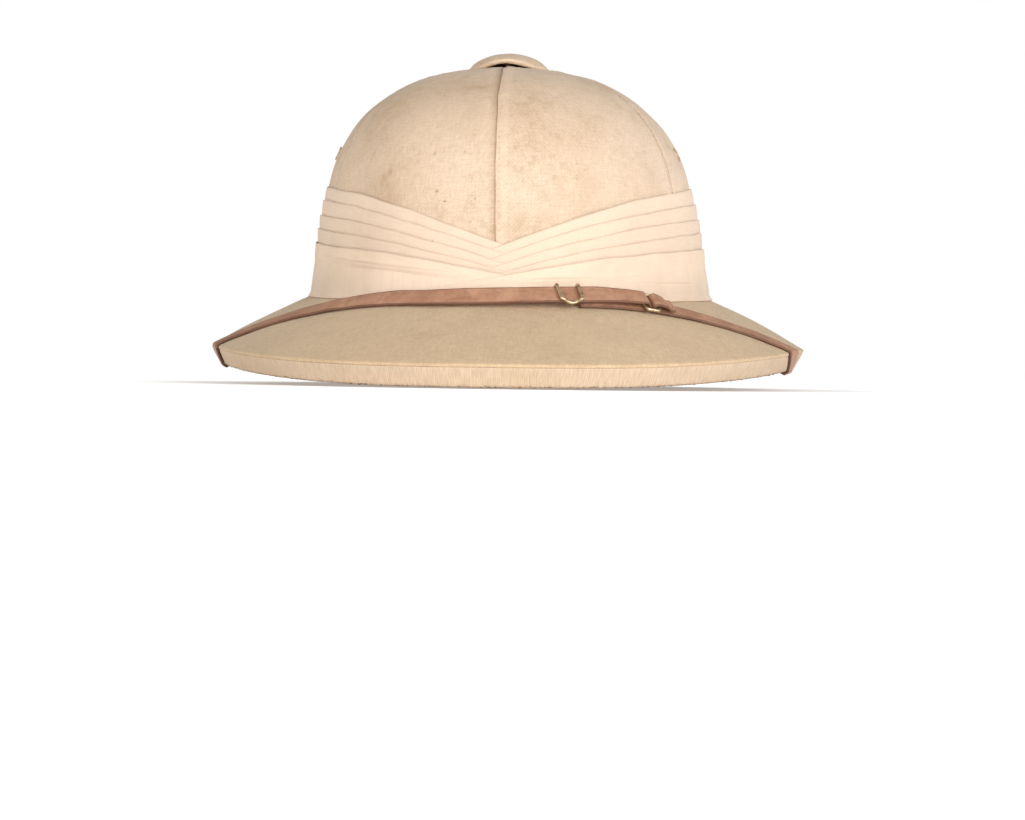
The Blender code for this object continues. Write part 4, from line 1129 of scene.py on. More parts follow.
def wrap_guide(turned):
    """Points down the wrap's path, and the way off it: down the wall, then in a curve on to the brim."""
    wall_foot, wall_proud = WRAP_WALL_FOOT
    points, off = [], []
    for share in np.linspace(1, 0, 16):
        height = np.full_like(turned, wall_foot + (WRAP_GUIDE_TOP - wall_foot) * share)
        points.append(on_crown(turned, height, wall_proud - 0.0009 * share))
        off.append(shell_normal(turned, wall_station(height)))
    start = fillet_reach(turned)
    wander = 0.00035 * ripple(np.sin(turned) * 0.1, np.cos(turned) * 0.1, 152, longest=0.080, shortest=0.030)
    reach = (WRAP_REACH + wander) * start / JOIN_FILLET
    station = FILLET + (reach - start) / (1 - start)
    edge = on_shell(turned, station, SKIN + 0.0007)
    bend = on_crown(turned, np.full_like(turned, WRAP_TURN[0]), WRAP_TURN[1])
    wall_way, brim_way = shell_normal(turned, np.full_like(turned, WALL - 0.5)), shell_normal(turned, station)
    last = unit(blend(wall_way, brim_way, np.full_like(turned, 0.8)))
    foot, foot_way = points[-1], off[-1]
    for share in np.linspace(0, 1, 15)[1:]:
        even = np.full_like(turned, share)
        points.append(blend(blend(foot, bend, even), blend(bend, edge, even), even))
        off.append(unit(blend(foot_way, last, even)))
    return np.array(points), np.array(off)


def down_guide(guide, off, height):
    """Places on the guide at these heights, one for each column, and the way off it there."""
    levels = guide[..., 2]
    steps, columns = np.arange(len(levels)), np.arange(levels.shape[1])
    place = np.array([np.interp(-height[column], -levels[:, column], steps) for column in columns])
    low = np.minimum(place.astype(int), len(levels) - 2)
    share = place - low
    return (blend(rows[low, columns], rows[low + 1, columns], share) for rows in (guide, off))


def add_wrap():
    """The broad lowest wrap: its upper fold, soft wrinkles and the foot that spreads on to the brim."""
    turned = strip_azimuths(520, 9, 30)
    run = turned * -WRAP_GIRTH_RADIUS
    wall = strip_wall(turned)
    over = 0.00052 * smooth_step(1.1, 0.15, turned + FULL_TURN)
    guide, off = wrap_guide(turned)
    foot = guide[-1, :, 2]
    top = np.maximum(strip_top(4, turned) + edge_waver(run, 151), foot + 0.0022)
    section, surface, creases = [], [], []

    def add_row(height, away, down):
        point, way = down_guide(guide, off, height)
        section.append(point + way * (away + over)[:, None])
        surface.append(np.stack([run, down + 0 * run], axis=-1))
        # the seams map of the wrap carries the painted shade along its wrinkles
        creases.append(np.stack([crease_shade(turned, height), 0 * run], axis=-1))

    add_row(top - 0.0016, -wall, 0.012)
    for row in rolled_edge(top, 0.0, wall):
        add_row(*row)
    for share in np.linspace(0, 1, 35)[1:]:
        height = top - wall / 2 + (foot - top + wall / 2) * share
        ease = min(1.0, share * 6) * (1 - share) ** 0.35
        add_row(height, soft_wrinkles(turned, height) * ease, top - height)
    add_row(foot, -0.00045, top - foot + 0.0005)
    add_row(foot + 0.0006, -0.0008, top - foot + 0.0014)
    sheet = closed_strip(section, surface, creases)
    piece = add_piece("puggaree_wrap", sheet, "wrap_cotton", "puggaree_cloth", "puggaree_band")


WRINKLE_RISES = 650  # a rise in millimetres over this is the wrinkle's height in metres, half as much again

# Wrinkles: degrees from the front, height in mm, half length in degrees, half width and rise in mm, slope
WRAP_WRINKLES = (
    (15.5, 11.8, 7.0, 0.9, 0.60, 0.05), (27.0, 9.6, 7.0, 0.9, 0.35, 0.04),
    (33.0, 12.6, 11.0, 1.3, 0.35, 0.02), (55.0, 10.4, 20.0, 1.2, 0.85, 0.00),
    (48.0, 14.5, 14.0, 1.5, 0.25, 0.02), (-33.0, 10.6, 7.0, 1.0, 0.40, 0.05),
    (-33.0, 17.0, 20.0, 0.9, 1.00, -0.05), (-58.0, 11.5, 18.0, 1.4, 0.35, -0.02),
    (95.0, 11.0, 25.0, 1.4, 0.45, 0.01), (-98.0, 12.0, 25.0, 1.4, 0.40, 0.01),
    (150.0, 13.0, 30.0, 1.6, 0.40, 0.01), (-150.0, 10.0, 30.0, 1.5, 0.40, 0.00),
)


def beside_wrinkles(turned, height):
    """For each wrinkle: its rise, how much of it is left here, and how many widths above its line."""
    for at, level, reach, width, rise, slope in WRAP_WRINKLES:
        apart = turned - math.radians(at)
        apart = np.degrees(np.arctan2(np.sin(apart), np.cos(apart)))
        line = (level + slope * apart * reach / 7) / 1000
        yield rise, np.exp(-(apart / reach) ** 2), (height - line) / (width / 1000)


def soft_wrinkles(turned, height):
    """Long soft folds of the loose wrap: a ridge with a crisp upper side for each row of the table."""
    total = 0.00012 * ripple(turned * WRAP_GIRTH_RADIUS, height, 201, longest=0.070, shortest=0.018)
    for rise, left, off in beside_wrinkles(turned, height):
        ridge = np.where(off > 0, np.exp(-(off * 1.7) ** 2), np.exp(-(off * 0.6) ** 2))
        total = total + rise / WRINKLE_RISES * ridge * left
    return total


def crease_shade(turned, height):
    """How much painted shade lies along the upper side of each wrinkle, from 0 to 1 millimetre on the map."""
    total = 0.0
    for rise, left, off in beside_wrinkles(turned, height):
        total = total + np.exp(-((off - 0.55) / 0.40) ** 2) * left * min(rise * 1.5, 1.0)
    return np.clip(total, 0, 1) / 1000


# ---- ventilator and eyelets ------------------------------------------------------------------------


def cap_surface(share, skirt, azimuth):
    share, skirt, azimuth = np.broadcast_arrays(share, skirt, azimuth)
    height = CAP_SKIRT - skirt + CAP_RISE * (1 - share ** CAP_POWER).clip(0) ** (1 / CAP_POWER)
    turned = np.abs((azimuth + math.pi) % FULL_TURN - math.pi) / CAP_ARCH_HALF_ANGLE
    arch = np.where(turned < 1, CAP_ARCH * np.cos(np.minimum(turned, 1) * QUARTER_TURN) ** 1.4, 0.0)
    radius = CAP_RADIUS * share
    return np.stack([
        radius * np.sin(azimuth) + CROWN_LEAN * CAP_SEAT,
        -radius * np.cos(azimuth),
        CAP_SEAT + height + arch * share ** 6,
    ], axis=-1)


def add_ventilator():
    """The cloth-covered cap, lifted at the front, and the turned spool that carries it."""
    around = np.linspace(0, FULL_TURN, 129)
    shares = np.concatenate([np.sin(np.linspace(0.0, QUARTER_TURN, 34)), np.ones(3)])
    skirts = np.concatenate([np.zeros(34), np.array([0.35, 0.7, 1.0]) * CAP_SKIRT])
    points = cap_surface(shares[:, None], skirts[:, None], around[None])
    dents = 0.00008 * ripple(points[..., 0], points[..., 1], 301, longest=0.02, shortest=0.006)
    points = points + dents[..., None]
    sheet = placed_grid(at_rest(points), np.stack([points[..., 0], -points[..., 1]], axis=-1))
    give_wall(add_piece("cap_cover", sheet, "cap_twill", "khaki_cloth", "vent_cap"), CAP_WALL, 0.0004)
    hem = wire(cap_surface(0.992, CAP_SKIRT * 0.62, around[:-1]), CAP_HEM, closed=True, sides=14)
    add_piece("cap_hem", hem, "cap_hem_twill", "khaki_cloth")

    flange_top = DOME_START + DOME_RISE - PITH - SPOOL_FLANGE_DROP - GAP
    post_top = CAP_SEAT + CAP_SKIRT + CAP_RISE - CAP_WALL - SPOOL_POST_DROP - GAP
    radius, waist, flange, bevel = SPOOL_RADIUS, SPOOL_RADIUS * 0.82, SPOOL_FLANGE_RADIUS, 0.0004
    profile = (
        (0.0, post_top), (radius - 0.0005, post_top), (radius, post_top - 0.0005), (waist, post_top - 0.0030),
        (waist, flange_top + 0.0030), (radius, flange_top), (flange - bevel, flange_top),
        (flange, flange_top - bevel), (flange, flange_top - SPOOL_FLANGE + bevel),
        (flange - bevel, flange_top - SPOOL_FLANGE), (0.0, flange_top - SPOOL_FLANGE),
    )
    outline = bmesh.new()
    corners = [outline.verts.new((away, 0.0, height)) for away, height in profile]
    for first, second in zip(corners, corners[1:]):
        outline.edges.new((first, second))
    bmesh.ops.spin(
        outline, geom=outline.verts[:] + outline.edges[:], cent=(0, 0, 0), axis=(0, 0, 1),
        angle=FULL_TURN, steps=64, use_merge=True,
    )
    bmesh.ops.remove_doubles(outline, verts=outline.verts, dist=MERGE)
    for corner in outline.verts:
        corner.co = at_rest(np.array(corner.co) + (CROWN_LEAN * CAP_SEAT, 0, 0))
    spool = add_piece("spool_post", outward(outline), "dull_brass", "tarnished_brass", "vent_spool")
    spool.data.set_sharp_from_angle(angle=math.radians(35))


def add_eyelets():
    """Worked eyelets on the side gores: a ring of close stitches round a small hole."""
    for name, side in (("left", -1), ("right", 1)):
        azimuth, station = side * EYELET_AZIMUTH, wall_station(EYELET_HEIGHT)
        out = shell_normal(azimuth, station)
        across = unit(np.cross(out, (0, 0, 1.0)))
        up = np.cross(across, out)
        centre = on_shell(azimuth, station, SKIN + 0.0003)
        turns = np.linspace(0, FULL_TURN, 49)[:-1]
        line = centre + (across * np.cos(turns)[:, None] + up * np.sin(turns)[:, None]) * EYELET_RADIUS
        ring = wire(line, EYELET_WIRE, closed=True)
        add_piece(f"eyelet_ring_{name}", ring, "eyelet_thread", "khaki_cloth", f"eyelet_{name}")
        stitches = []
        for turn in np.linspace(0, FULL_TURN, 31)[:-1]:
            spoke = across * math.cos(turn) + up * math.sin(turn)
            middle = centre + spoke * (EYELET_RADIUS + 0.0001) + out * 0.00035
            stitches.append((middle, spoke, out, 0.00085, 0.00022))
        add_piece(f"eyelet_stitches_{name}", sewn(stitches), "pale_thread", "khaki_cloth")


# Rows of small stitches: name, sixths of a turn from the front, how far beside the seam and off the cloth in
# metres, lowest and highest place in millimetres, turn off the seam, half length as a share of the stitch,
# thread, and the share of them that is left
SEAM_ROWS = (
    ("front", 0, 0.0016, 0.00072, 30.0, 104.0, 0.0, 0.34, "pale_thread", 1.0),
    ("right", 1, 0.0, 0.00005, 48.0, 100.0, 1.1, 0.36, "dark_thread", 0.55),
    ("left", -1, 0.0, 0.00005, 48.0, 100.0, 1.1, 0.36, "dark_thread", 0.35),
    ("rear_right", 2, 0.0, 0.00005, 52.0, 100.0, 1.1, 0.36, "dark_thread", 0.35),
    ("rear_left", -2, 0.0, 0.00005, 52.0, 100.0, 1.1, 0.36, "dark_thread", 0.35),
)


def add_seam_stitches():
    """Small stitches beside the front seam and across the side seams of the crown."""
    s = sizes()
    rng = np.random.default_rng(23)
    for name, sixths, beside, lift, low, high, turn, half, thread, left in SEAM_ROWS:
        seam = FULL_TURN * sixths / 6
        stations = np.linspace(float(wall_station(high / 1000)), float(wall_station(low / 1000)), 400)
        run = distance_along(shell_point(seam, stations))
        stitches = []
        place = 0.001
        while place < run[-1]:
            station = float(np.interp(place, run, stations))
            place += s.stitch_step * (0.85 + 0.3 * rng.random())
            if rng.random() > left:
                continue
            azimuth = seam + beside / float(np.hypot(*shell_point(seam, station)[:2]))
            off = shell_normal(azimuth, station)
            down = unit(shell_point(azimuth, station + NEAR) - shell_point(azimuth, station - NEAR))
            along = down * math.cos(turn) + np.cross(off, down) * math.sin(turn)
            middle = shell_point(azimuth, station) + off * (SKIN + lift)
            stitches.append((middle, along, off, s.stitch_length * half, s.thread * 0.8))
        add_piece(f"seam_stitches_{name}", sewn(stitches), thread, "khaki_cloth")


# ---- chin strap ------------------------------------------------------------------------------------


def lean_at(azimuth, column):
    return float(np.interp(
        abs(azimuth), [row["azimuth"] for row in STRAP_LEAN], [row[column] for row in STRAP_LEAN],
    ))


def strap_reach(azimuth):
    """How far out on the brim the strap lies: level round the front, then straight to where it goes over."""
    turned = abs(azimuth)
    if turned <= STRAP_LEAVES_CROWN:
        return STRAP_REACH
    start = brim_point(STRAP_LEAVES_CROWN, STRAP_REACH)
    run = rim_corner(WRAP_AZIMUTH) - start
    inner = crown_outline(turned, JOIN_HEIGHT)
    spoke = rim_corner(turned) - inner
    offset = start - inner
    return (offset[0] * run[1] - offset[1] * run[0]) / (spoke[0] * run[1] - spoke[1] * run[0])


def strap_stop(point, face, fold=None):
    """A place of the strap's middle, the way its face looks and, at the rim, the way across it."""
    return {"point": point, "face": unit(face), "fold": fold}


def strap_on_top(azimuth, layer=0.0):
    start = fillet_reach(azimuth)
    station = FILLET + (strap_reach(azimuth) - start) / (1 - start)
    face = shell_normal(azimuth, station)
    outwards = unit(rim_corner(azimuth) - crown_outline(azimuth, JOIN_HEIGHT))
    lean = lean_at(azimuth, "lean")
    leant = unit(face * math.cos(lean) + outwards * math.sin(lean))
    foot = shell_point(azimuth, station) + face * (SKIN + lean_at(azimuth, "lift"))
    return strap_stop(foot + leant * layer, leant)


def rim_stop(side, share, turn):
    """A stop on the strap's way round the rim's edge, from its foot at share 0 to its top at 1."""
    corner, out, up = rim_frame(side * (WRAP_AZIMUTH + WRAP_SLANT * (1 - share)))
    face = up * math.cos(turn) + out * math.sin(turn)
    inner = SKIN - STRAP_BEND
    foot = corner + out * inner + up * (inner - (PITH + 2 * inner) * (1 - share))
    spread = WRAP_SPREAD[0] + (WRAP_SPREAD[1] - WRAP_SPREAD[0]) * share
    return strap_stop(foot + face * (STRAP_BEND + STRAP_OFF_RIM), face, np.cross(up, out) * spread)


def strap_round_rim(side):
    """The strap's end, from its staple under the brim round the rim on to the brim."""
    bends = [rim_stop(side, 0.0, math.pi - QUARTER_TURN * step / 3) for step in range(4)]
    bends += [rim_stop(side, share, QUARTER_TURN) for share in (0.25, 0.5, 0.75)]
    bends += [rim_stop(side, 1.0, QUARTER_TURN * (1 - step / 3)) for step in range(4)]
    azimuth, first = side * HOOK_AZIMUTH, bends[0]
    face = -shell_normal(azimuth, HOOK_STATION)
    hook = shell_point(azimuth, HOOK_STATION) + face * (PITH + SKIN + STRAP_LIFT)
    under = [
        strap_stop(hook + (first["point"] - hook) * share, face + (first["face"] - face) * share)
        for share in (0.0, 0.25, 0.5, 0.75)
    ]
    return under + bends


def turned_over(stops):
    return [strap_stop(stop["point"], -stop["face"]) for stop in stops]


def run_on_top(first, last, steps, layers=(0.0, 0.0)):
    """Stops along the top of the brim, rising from one layer to another."""
    azimuths = np.linspace(first, last, steps + 1)
    return [strap_on_top(*place) for place in zip(azimuths, np.linspace(*layers, steps + 1))]


def top_frame(azimuth, layer):
    here = strap_on_top(azimuth, layer)
    step = math.radians(0.2)
    along = unit(strap_on_top(azimuth + step, layer)["point"] - strap_on_top(azimuth - step, layer)["point"])
    off = unit(here["face"] - along * np.dot(here["face"], along))
    return here["point"], along, np.cross(off, along), off


def fold_round_wire(azimuth, shift, heading):
    point, along, _, off = top_frame(azimuth, FOLD_RADIUS)
    centre = point + along * shift
    stops = []
    for step in range(7):
        turn = math.pi * step / 6
        face = off * math.cos(turn) + along * heading * math.sin(turn)
        stops.append(strap_stop(centre + face * FOLD_RADIUS, face))
    return stops


# Stitches: degrees from the front, height of the layer and distance across the strap in metres
STRAP_STITCHES = (
    (20.6, 0.0, -0.0033), (21.3, 0.0, -0.0030),
    (42.0, 0.0020, -0.0020), (42.3, 0.0020, 0.0), (42.0, 0.0020, 0.0021),
)


def rounded_corners(half_width, half_height, corner, steps):
    """The four rounded corners of a rectangle, each as a list of points, anticlockwise."""
    for quadrant, (a, b) in enumerate(((1, 1), (-1, 1), (-1, -1), (1, -1))):
        turns = [QUARTER_TURN * (quadrant + step / steps) for step in range(steps + 1)]
        across, up = a * (half_width - corner), b * (half_height - corner)
        yield [(across + corner * math.cos(turn), up + corner * math.sin(turn)) for turn in turns]


def strap_section():
    """The cut of the strap: flat, with its edges rounded."""
    half = STRAP_WIDTH / 2
    corners = list(rounded_corners(half, STRAP_HALF_DRAWN, STRAP_CORNER, 3))
    upper = [(half * share, STRAP_HALF_DRAWN) for share in (0.5, 0.0, -0.5)]
    lower = [(-across, -height) for across, height in upper]
    return corners[0] + upper + corners[1] + corners[2] + lower + corners[3]


def strap_sheet(stops, seed):
    """A leather strap along its stops, made smooth between them."""
    count = len(stops)
    rows = []
    for index, stop in enumerate(stops):
        before = stops[max(index - 1, 0)]["point"]
        after = stops[min(index + 1, count - 1)]["point"]
        across = unit(np.cross(stop["face"], after - before))
        if stop["fold"] is not None:
            across = stop["fold"] * math.copysign(1, float(np.dot(stop["fold"], across)))
        rows.append(np.concatenate([stop["point"], across, stop["face"]]))
    fine = curve_through(rows, 5)
    centres, across, face = fine[:, :3], fine[:, 3:6], fine[:, 6:]
    run = distance_along(centres)
    sway = 0.00010 * ripple(run, 0 * run, seed, longest=0.040, shortest=0.012)[:, None]
    widen = 1 + 0.025 * ripple(run, 0 * run, seed + 1, longest=0.050, shortest=0.010)[:, None]
    off = tilted(unit(face))
    middle = at_rest(centres) + off * sway.clip(0)
    return swept(middle, tilted(across) * widen, off, strap_section(), flat=True)


def add_straps():
    """The long strap doubles back through the ring to the buckle; the short one holds the ring."""
    upper = 2 * FOLD_RADIUS
    rise = math.radians(-22)
    on_brim = WRAP_AZIMUTH - math.radians(2)
    past_ring = RING_AZIMUTH + STRAP_STEP
    long_stops = strap_round_rim(-1)
    long_stops += run_on_top(-on_brim, rise - STRAP_STEP, 12)
    long_stops += run_on_top(rise, BUCKLE_AZIMUTH - STRAP_STEP, 12, (0.0, LAYER_STEP))
    long_stops += run_on_top(BUCKLE_AZIMUTH, RING_AZIMUTH - 0.7 * STRAP_STEP, 7, (LAYER_STEP, upper))
    long_stops += fold_round_wire(RING_AZIMUTH, -RING_HALF_LENGTH, 1)
    long_stops += turned_over(run_on_top(RING_AZIMUTH - STRAP_STEP, BUCKLE_AZIMUTH + 0.75 * STRAP_STEP, 5))
    add_piece("strap_long", strap_sheet(long_stops, 401), "strap_leather", "brown_leather", "chin_strap_long")
    short_stops = strap_round_rim(1)
    short_stops += run_on_top(on_brim, past_ring, 12)
    short_stops += reversed(turned_over(fold_round_wire(RING_AZIMUTH, RING_HALF_LENGTH, -1)))
    flap_start, flap_bend, flap_end = (past_ring + share * STRAP_STEP for share in (0.36, 0.50, 0.70))
    low = STRAP_FLAP_LAYER
    short_stops += turned_over(run_on_top(past_ring, flap_start, 3, (upper - 0.0005, low)))
    short_stops += turned_over(run_on_top(flap_bend, flap_end, 1, (low, low)))
    sheet = strap_sheet(short_stops, 411)
    add_piece("strap_short", sheet, "strap_leather", "brown_leather", "chin_strap_short")
    stitches = []
    for degrees, layer, shift in STRAP_STITCHES:
        point, _, across, off = top_frame(math.radians(degrees), layer)
        stitches.append((point + across * shift + off * 0.00058, across, off, 0.0007, 0.00020))
    add_piece("strap_stitches", sewn(stitches), "pale_thread", "brown_leather")


# ---- brass -----------------------------------------------------------------------------------------


def bent_wire(frame_at, outline, radius, closed=False, sides=10):
    """A wire bent along an outline of (along, across, off) places in a frame, its corners rounded off."""
    point, *axes = frame_at
    rows = point + np.array(outline) @ np.array(axes)
    for _ in range(3):
        following = np.roll(rows, -1, axis=0)
        quarters = [rows * 0.75 + following * 0.25, rows * 0.25 + following * 0.75]
        cut = np.stack(quarters, axis=1).reshape(-1, 3)
        rows = cut if closed else np.concatenate([rows[:1], cut[:-2], rows[-1:]])
    return wire(rows, radius, closed, sides)


def add_brass():
    """Slide buckle, ring and the two staples under the brim."""
    over = STRAP_THICKNESS / 2 + GAP + WIRE
    half, top, bottom = BUCKLE_HALF_LENGTH, BUCKLE_TOP, BUCKLE_BOTTOM
    behind = -0.0009
    outline = [(half * share, top, behind) for share in (-1, -0.5, 0.5, 1)]
    outline += [(half, top + 0.0001, over * 0.5), (half, top - 0.0009, over), (half, 0.0, over)]
    for step in range(13):
        turn = math.pi * step / 12
        dip = over * (1 - 0.85 * math.sin(turn) ** 4)
        outline.append((half * math.cos(turn), -bottom - BUCKLE_SAG * math.sin(turn), dip))
    outline += [(-half, 0.0, over), (-half, top - 0.0009, over), (-half, top + 0.0001, over * 0.5)]
    lowest = -bottom - BUCKLE_SAG
    bar_outline = [(0.0, across, off) for across, off in (
        (top, behind), (top - 0.0004, -over), (0.0, -over - 0.0001), (lowest + 0.0006, -over),
        (lowest, over * 0.15),
    )]
    frame_at = top_frame(BUCKLE_AZIMUTH, LAYER_STEP)
    loop = bent_wire(frame_at, outline, WIRE, closed=True, sides=14)
    bar = bent_wire(frame_at, bar_outline, BUCKLE_BAR_WIRE, sides=12)
    add_piece("buckle", joined([loop, bar]), "old_brass", "tarnished_brass", "slide_buckle")

    corners = rounded_corners(RING_HALF_LENGTH, RING_HALF_WIDTH, RING_CORNER, 2)
    outline = [(along, across, 0.0) for corner in corners for along, across in corner]
    ring = bent_wire(top_frame(RING_AZIMUTH, FOLD_RADIUS), outline, WIRE, closed=True, sides=14)
    add_piece("ring", ring, "old_brass", "tarnished_brass", "strap_ring")

    reach, level = STAPLE_HALF_WIDTH, STRAP_LIFT + STAPLE_WIRE
    leg = ((reach, GAP - STRAP_LIFT), (reach, level * 0.5), (reach, level))
    outline = [(0.0, across, off) for across, off in leg] + [(0.0, 0.0, level)]
    outline += [(0.0, -across, off) for across, off in reversed(leg)]
    for name, side in (("left", -1), ("right", 1)):
        before, stop, after = strap_round_rim(side)[:3]
        along = unit(after["point"] - before["point"])
        frame_at = (stop["point"], along, unit(np.cross(stop["face"], along)), stop["face"])
        staple = bent_wire(frame_at, outline, STAPLE_WIRE)
        add_piece(f"staple_{name}", staple, "old_brass", "tarnished_brass", f"strap_hook_{name}")


# ---- stage -----------------------------------------------------------------------------------------

CAMERA_DISTANCE = 0.670
CAMERA_TURN = math.radians(3.1)
CAMERA_HEIGHT = 0.005
CAMERA_PITCH = math.radians(1.40)
CAMERA_ROLL = math.radians(0.8)
CAMERA_SHIFT = 0.0016  # to the right of the crown's middle
FOCAL_PIXELS = 1420.0
FRAME_WIDTH = 1025.0  # in the same pixels
SENSOR = 36.0  # in millimetres
FLOOR_RADIUS = 6.0
FLOOR_DROP = 0.0002  # keeps the floor clear of the rim that rests on it
SURROUND = 0.37  # how strongly the white surround lights the helmet
BACKDROP = 1.0  # and how bright the camera sees it


def stage_finish():
    """Floor: pale and matt, with a painted glow that is white like the backdrop further out and weaker near
    the helmet, a painted shade round it.
    """
    floor = Finish("studio_floor", (0.90, 0.90, 0.895), roughness=0.95)
    floor.lay((0.92, 0.92, 0.915), floor.noise(0.4, detail=2.0))
    away = floor.node("ShaderNodeVectorMath", {"operation": "LENGTH"}, _0=floor.where).outputs["Value"]
    floor.put("Emission Color", (1.0, 1.0, 1.0))
    # painted light: the floor glows and its glow also lights the helmet from below; dimmer near the helmet as
    # painted shade
    floor.put("Emission Strength", floor.between(away, 0.13, 0.24, 0.28, 0.72))
    return floor.done()


def add_stage():
    """The round floor that the helmet stands on."""
    floor = bmesh.new()
    below = Matrix.Translation((0, 0, -FLOOR_DROP))
    bmesh.ops.create_circle(
        floor, cap_ends=True, cap_tris=False, segments=96, radius=FLOOR_RADIUS, matrix=below,
    )
    mesh = bpy.data.meshes.new("floor")
    floor.to_mesh(mesh)
    floor.free()
    ground = bpy.data.objects.new("floor", mesh)
    bpy.context.scene.collection.objects.link(ground)
    mesh.materials.append(stage_finish())


def add_light(name, place, target, size, power, tone=(1.0, 1.0, 1.0)):
    """A round lamp at its place, turned to its target."""
    lamp = bpy.data.lights.new(name, "AREA")
    lamp.shape = "DISK"
    lamp.size = size
    lamp.energy = power
    lamp.color = tone
    holder = bpy.data.objects.new(name, lamp)
    holder.location = place
    holder.rotation_euler = (Vector(target) - Vector(place)).to_track_quat("-Z", "Y").to_euler()
    bpy.context.scene.collection.objects.link(holder)


def add_lights():
    """Broad soft light from low in front, stronger from the right, over an even white surround."""
    add_light("key", (1.10, -1.35, 0.42), (0, 0, 0.06), 1.1, 25.0, (1.0, 0.99, 0.975))
    add_light("fill", (-1.15, -1.30, 0.36), (0, 0, 0.06), 1.1, 12.2, (1.0, 0.95, 0.87))
    add_light("low", (0.10, -1.30, 0.10), (0, 0, 0.07), 0.5, 2.8)
    world = bpy.data.worlds.new("studio")
    bpy.context.scene.world = world
    world.use_nodes = True
    tree = world.node_tree
    mix = tree.nodes.new("ShaderNodeMixShader")
    seen = tree.nodes.new("ShaderNodeBackground")
    surrounds = ((tree.nodes["Background"], SURROUND), (seen, BACKDROP))
    for socket, (background, strength) in zip(mix.inputs[1:], surrounds):
        background.inputs["Color"].default_value = (1.0, 1.0, 1.0, 1.0)
        background.inputs["Strength"].default_value = strength
        tree.links.new(background.outputs[0], socket)
    tree.links.new(tree.nodes.new("ShaderNodeLightPath").outputs["Is Camera Ray"], mix.inputs[0])
    tree.links.new(mix.outputs[0], tree.nodes["World Output"].inputs["Surface"])


def add_camera():
    """The photo's lens at the photo's distance and turn, and just above the floor."""
    lens = bpy.data.cameras.new("camera")
    lens.sensor_width = SENSOR
    lens.lens = FOCAL_PIXELS * SENSOR / FRAME_WIDTH
    lens.clip_start = 0.01
    eye = bpy.data.objects.new("camera", lens)
    bpy.context.scene.collection.objects.link(eye)
    middle = at_rest(np.array((0.0, 0.0, 0.05)))
    turn, distance = CAMERA_TURN, CAMERA_DISTANCE
    across, back = distance * math.sin(turn) + CAMERA_SHIFT, distance * math.cos(turn)
    eye.location = (middle[0] + across, middle[1] - back, CAMERA_HEIGHT)
    eye.rotation_euler = (
        Matrix.Rotation(turn, 3, "Z") @ Matrix.Rotation(QUARTER_TURN - CAMERA_PITCH, 3, "X")
        @ Matrix.Rotation(CAMERA_ROLL, 3, "Z")
    ).to_euler()
    bpy.context.scene.camera = eye


# ---- operators, panel and main ---------------------------------------------------------------------


class HelmetOperator:
    bl_options = {"REGISTER", "UNDO"}

    def execute(self, context):
        type(self).build()
        return {"FINISHED"}


class HELMET_OT_pith(HelmetOperator, bpy.types.Operator):
    """Builds the pith shell"""

    bl_idname = "helmet.pith"
    bl_label = "Pith Shell"
    build = staticmethod(add_pith)


class HELMET_OT_gores(HelmetOperator, bpy.types.Operator):
    """Covers the crown with its six gores"""

    bl_idname = "helmet.gores"
    bl_label = "Crown Gores"
    build = staticmethod(add_gores)


class HELMET_OT_brim(HelmetOperator, bpy.types.Operator):
    """Covers and lines the brim"""

    bl_idname = "helmet.brim"
    bl_label = "Brim Cloths"
    build = staticmethod(add_brim_cloths)


class HELMET_OT_binding(HelmetOperator, bpy.types.Operator):
    """Binds the rim with its ribbed tape and stitches"""

    bl_idname = "helmet.binding"
    bl_label = "Edge Binding"
    build = staticmethod(add_binding)


class HELMET_OT_folds(HelmetOperator, bpy.types.Operator):
    """Lays the four crossing pleats of the puggaree"""

    bl_idname = "helmet.folds"
    bl_label = "Puggaree Folds"
    build = staticmethod(add_folds)


class HELMET_OT_wrap(HelmetOperator, bpy.types.Operator):
    """Lays the broad lower wrap of the puggaree"""

    bl_idname = "helmet.wrap"
    bl_label = "Puggaree Wrap"
    build = staticmethod(add_wrap)


class HELMET_OT_ventilator(HelmetOperator, bpy.types.Operator):
    """Builds the ventilator cap and its spool"""

    bl_idname = "helmet.ventilator"
    bl_label = "Ventilator"
    build = staticmethod(add_ventilator)


class HELMET_OT_eyelets(HelmetOperator, bpy.types.Operator):
    """Works the two side eyelets"""

    bl_idname = "helmet.eyelets"
    bl_label = "Eyelets"
    build = staticmethod(add_eyelets)


class HELMET_OT_stitches(HelmetOperator, bpy.types.Operator):
    """Sews the crown's seams"""

    bl_idname = "helmet.stitches"
    bl_label = "Seam Stitches"
    build = staticmethod(add_seam_stitches)


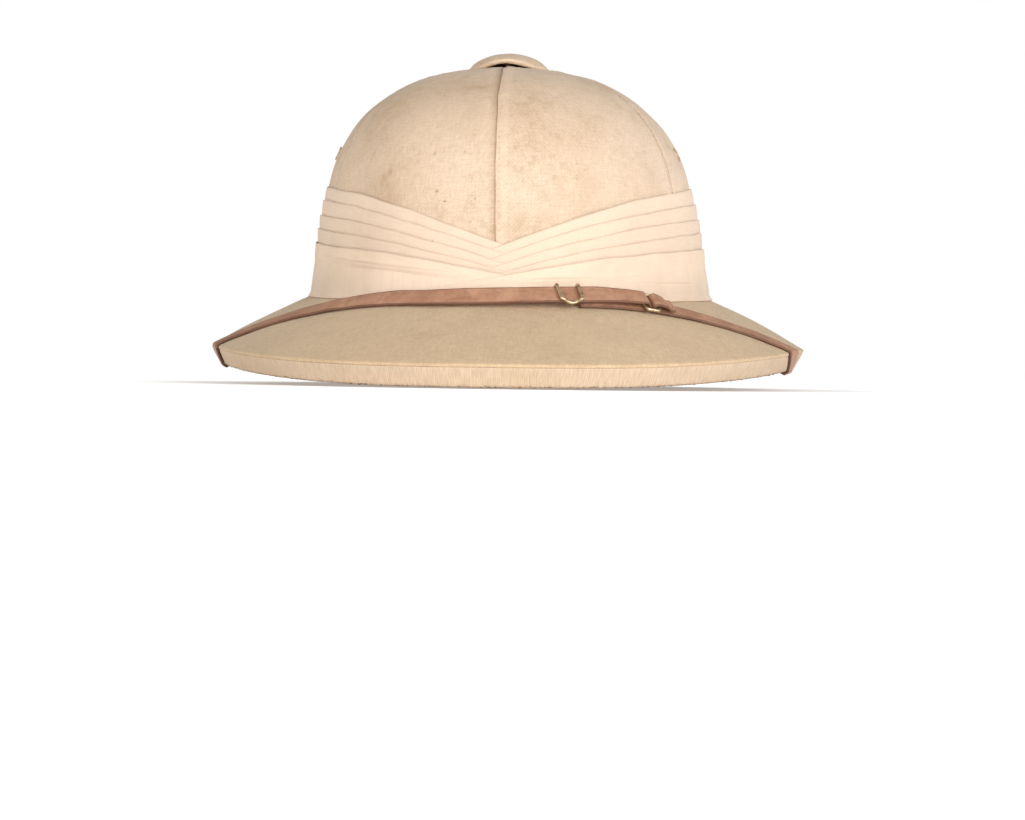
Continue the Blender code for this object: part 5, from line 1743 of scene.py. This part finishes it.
class HELMET_OT_straps(HelmetOperator, bpy.types.Operator):
    """Lays the leather chin strap"""

    bl_idname = "helmet.straps"
    bl_label = "Chin Strap"
    build = staticmethod(add_straps)


class HELMET_OT_brass(HelmetOperator, bpy.types.Operator):
    """Bends the buckle, the ring and the staples"""

    bl_idname = "helmet.brass"
    bl_label = "Brass Fittings"
    build = staticmethod(add_brass)


def set_stage():
    add_stage()
    add_lights()
    add_camera()
    bpy.context.scene.view_settings.view_transform = "Standard"


class HELMET_OT_stage(HelmetOperator, bpy.types.Operator):
    """Sets the floor, the lights and the camera"""

    bl_idname = "helmet.stage"
    bl_label = "Stage"
    build = staticmethod(set_stage)


OPERATORS = (
    HELMET_OT_pith, HELMET_OT_gores, HELMET_OT_brim, HELMET_OT_binding, HELMET_OT_folds, HELMET_OT_wrap,
    HELMET_OT_ventilator, HELMET_OT_eyelets, HELMET_OT_stitches, HELMET_OT_straps, HELMET_OT_brass,
    HELMET_OT_stage,
)


class HELMET_PT_panel(bpy.types.Panel):
    """Lists the helmet's pieces with their sizes and colours"""

    bl_idname = "HELMET_PT_panel"
    bl_label = "Pith Helmet"
    bl_space_type = "VIEW_3D"
    bl_region_type = "UI"
    bl_category = "Helmet"

    def draw(self, context):
        for group in (context.scene.helmet_sizes, context.scene.helmet_colours):
            for name in type(group).__annotations__:
                self.layout.prop(group, name)
        for operator in OPERATORS:
            self.layout.operator(operator.bl_idname)


CLASSES = (HelmetSizes, HelmetColours, *OPERATORS, HELMET_PT_panel)


def register():
    for item in CLASSES:
        bpy.utils.register_class(item)
    bpy.types.Scene.helmet_sizes = bpy.props.PointerProperty(type=HelmetSizes)
    bpy.types.Scene.helmet_colours = bpy.props.PointerProperty(type=HelmetColours)


def unregister():
    del bpy.types.Scene.helmet_colours
    del bpy.types.Scene.helmet_sizes
    for item in reversed(CLASSES):
        bpy.utils.unregister_class(item)


def main():
    register()
    for operator in OPERATORS:
        group, name = operator.bl_idname.split(".")
        getattr(getattr(bpy.ops, group), name)()


if __name__ == "__main__":
    main()
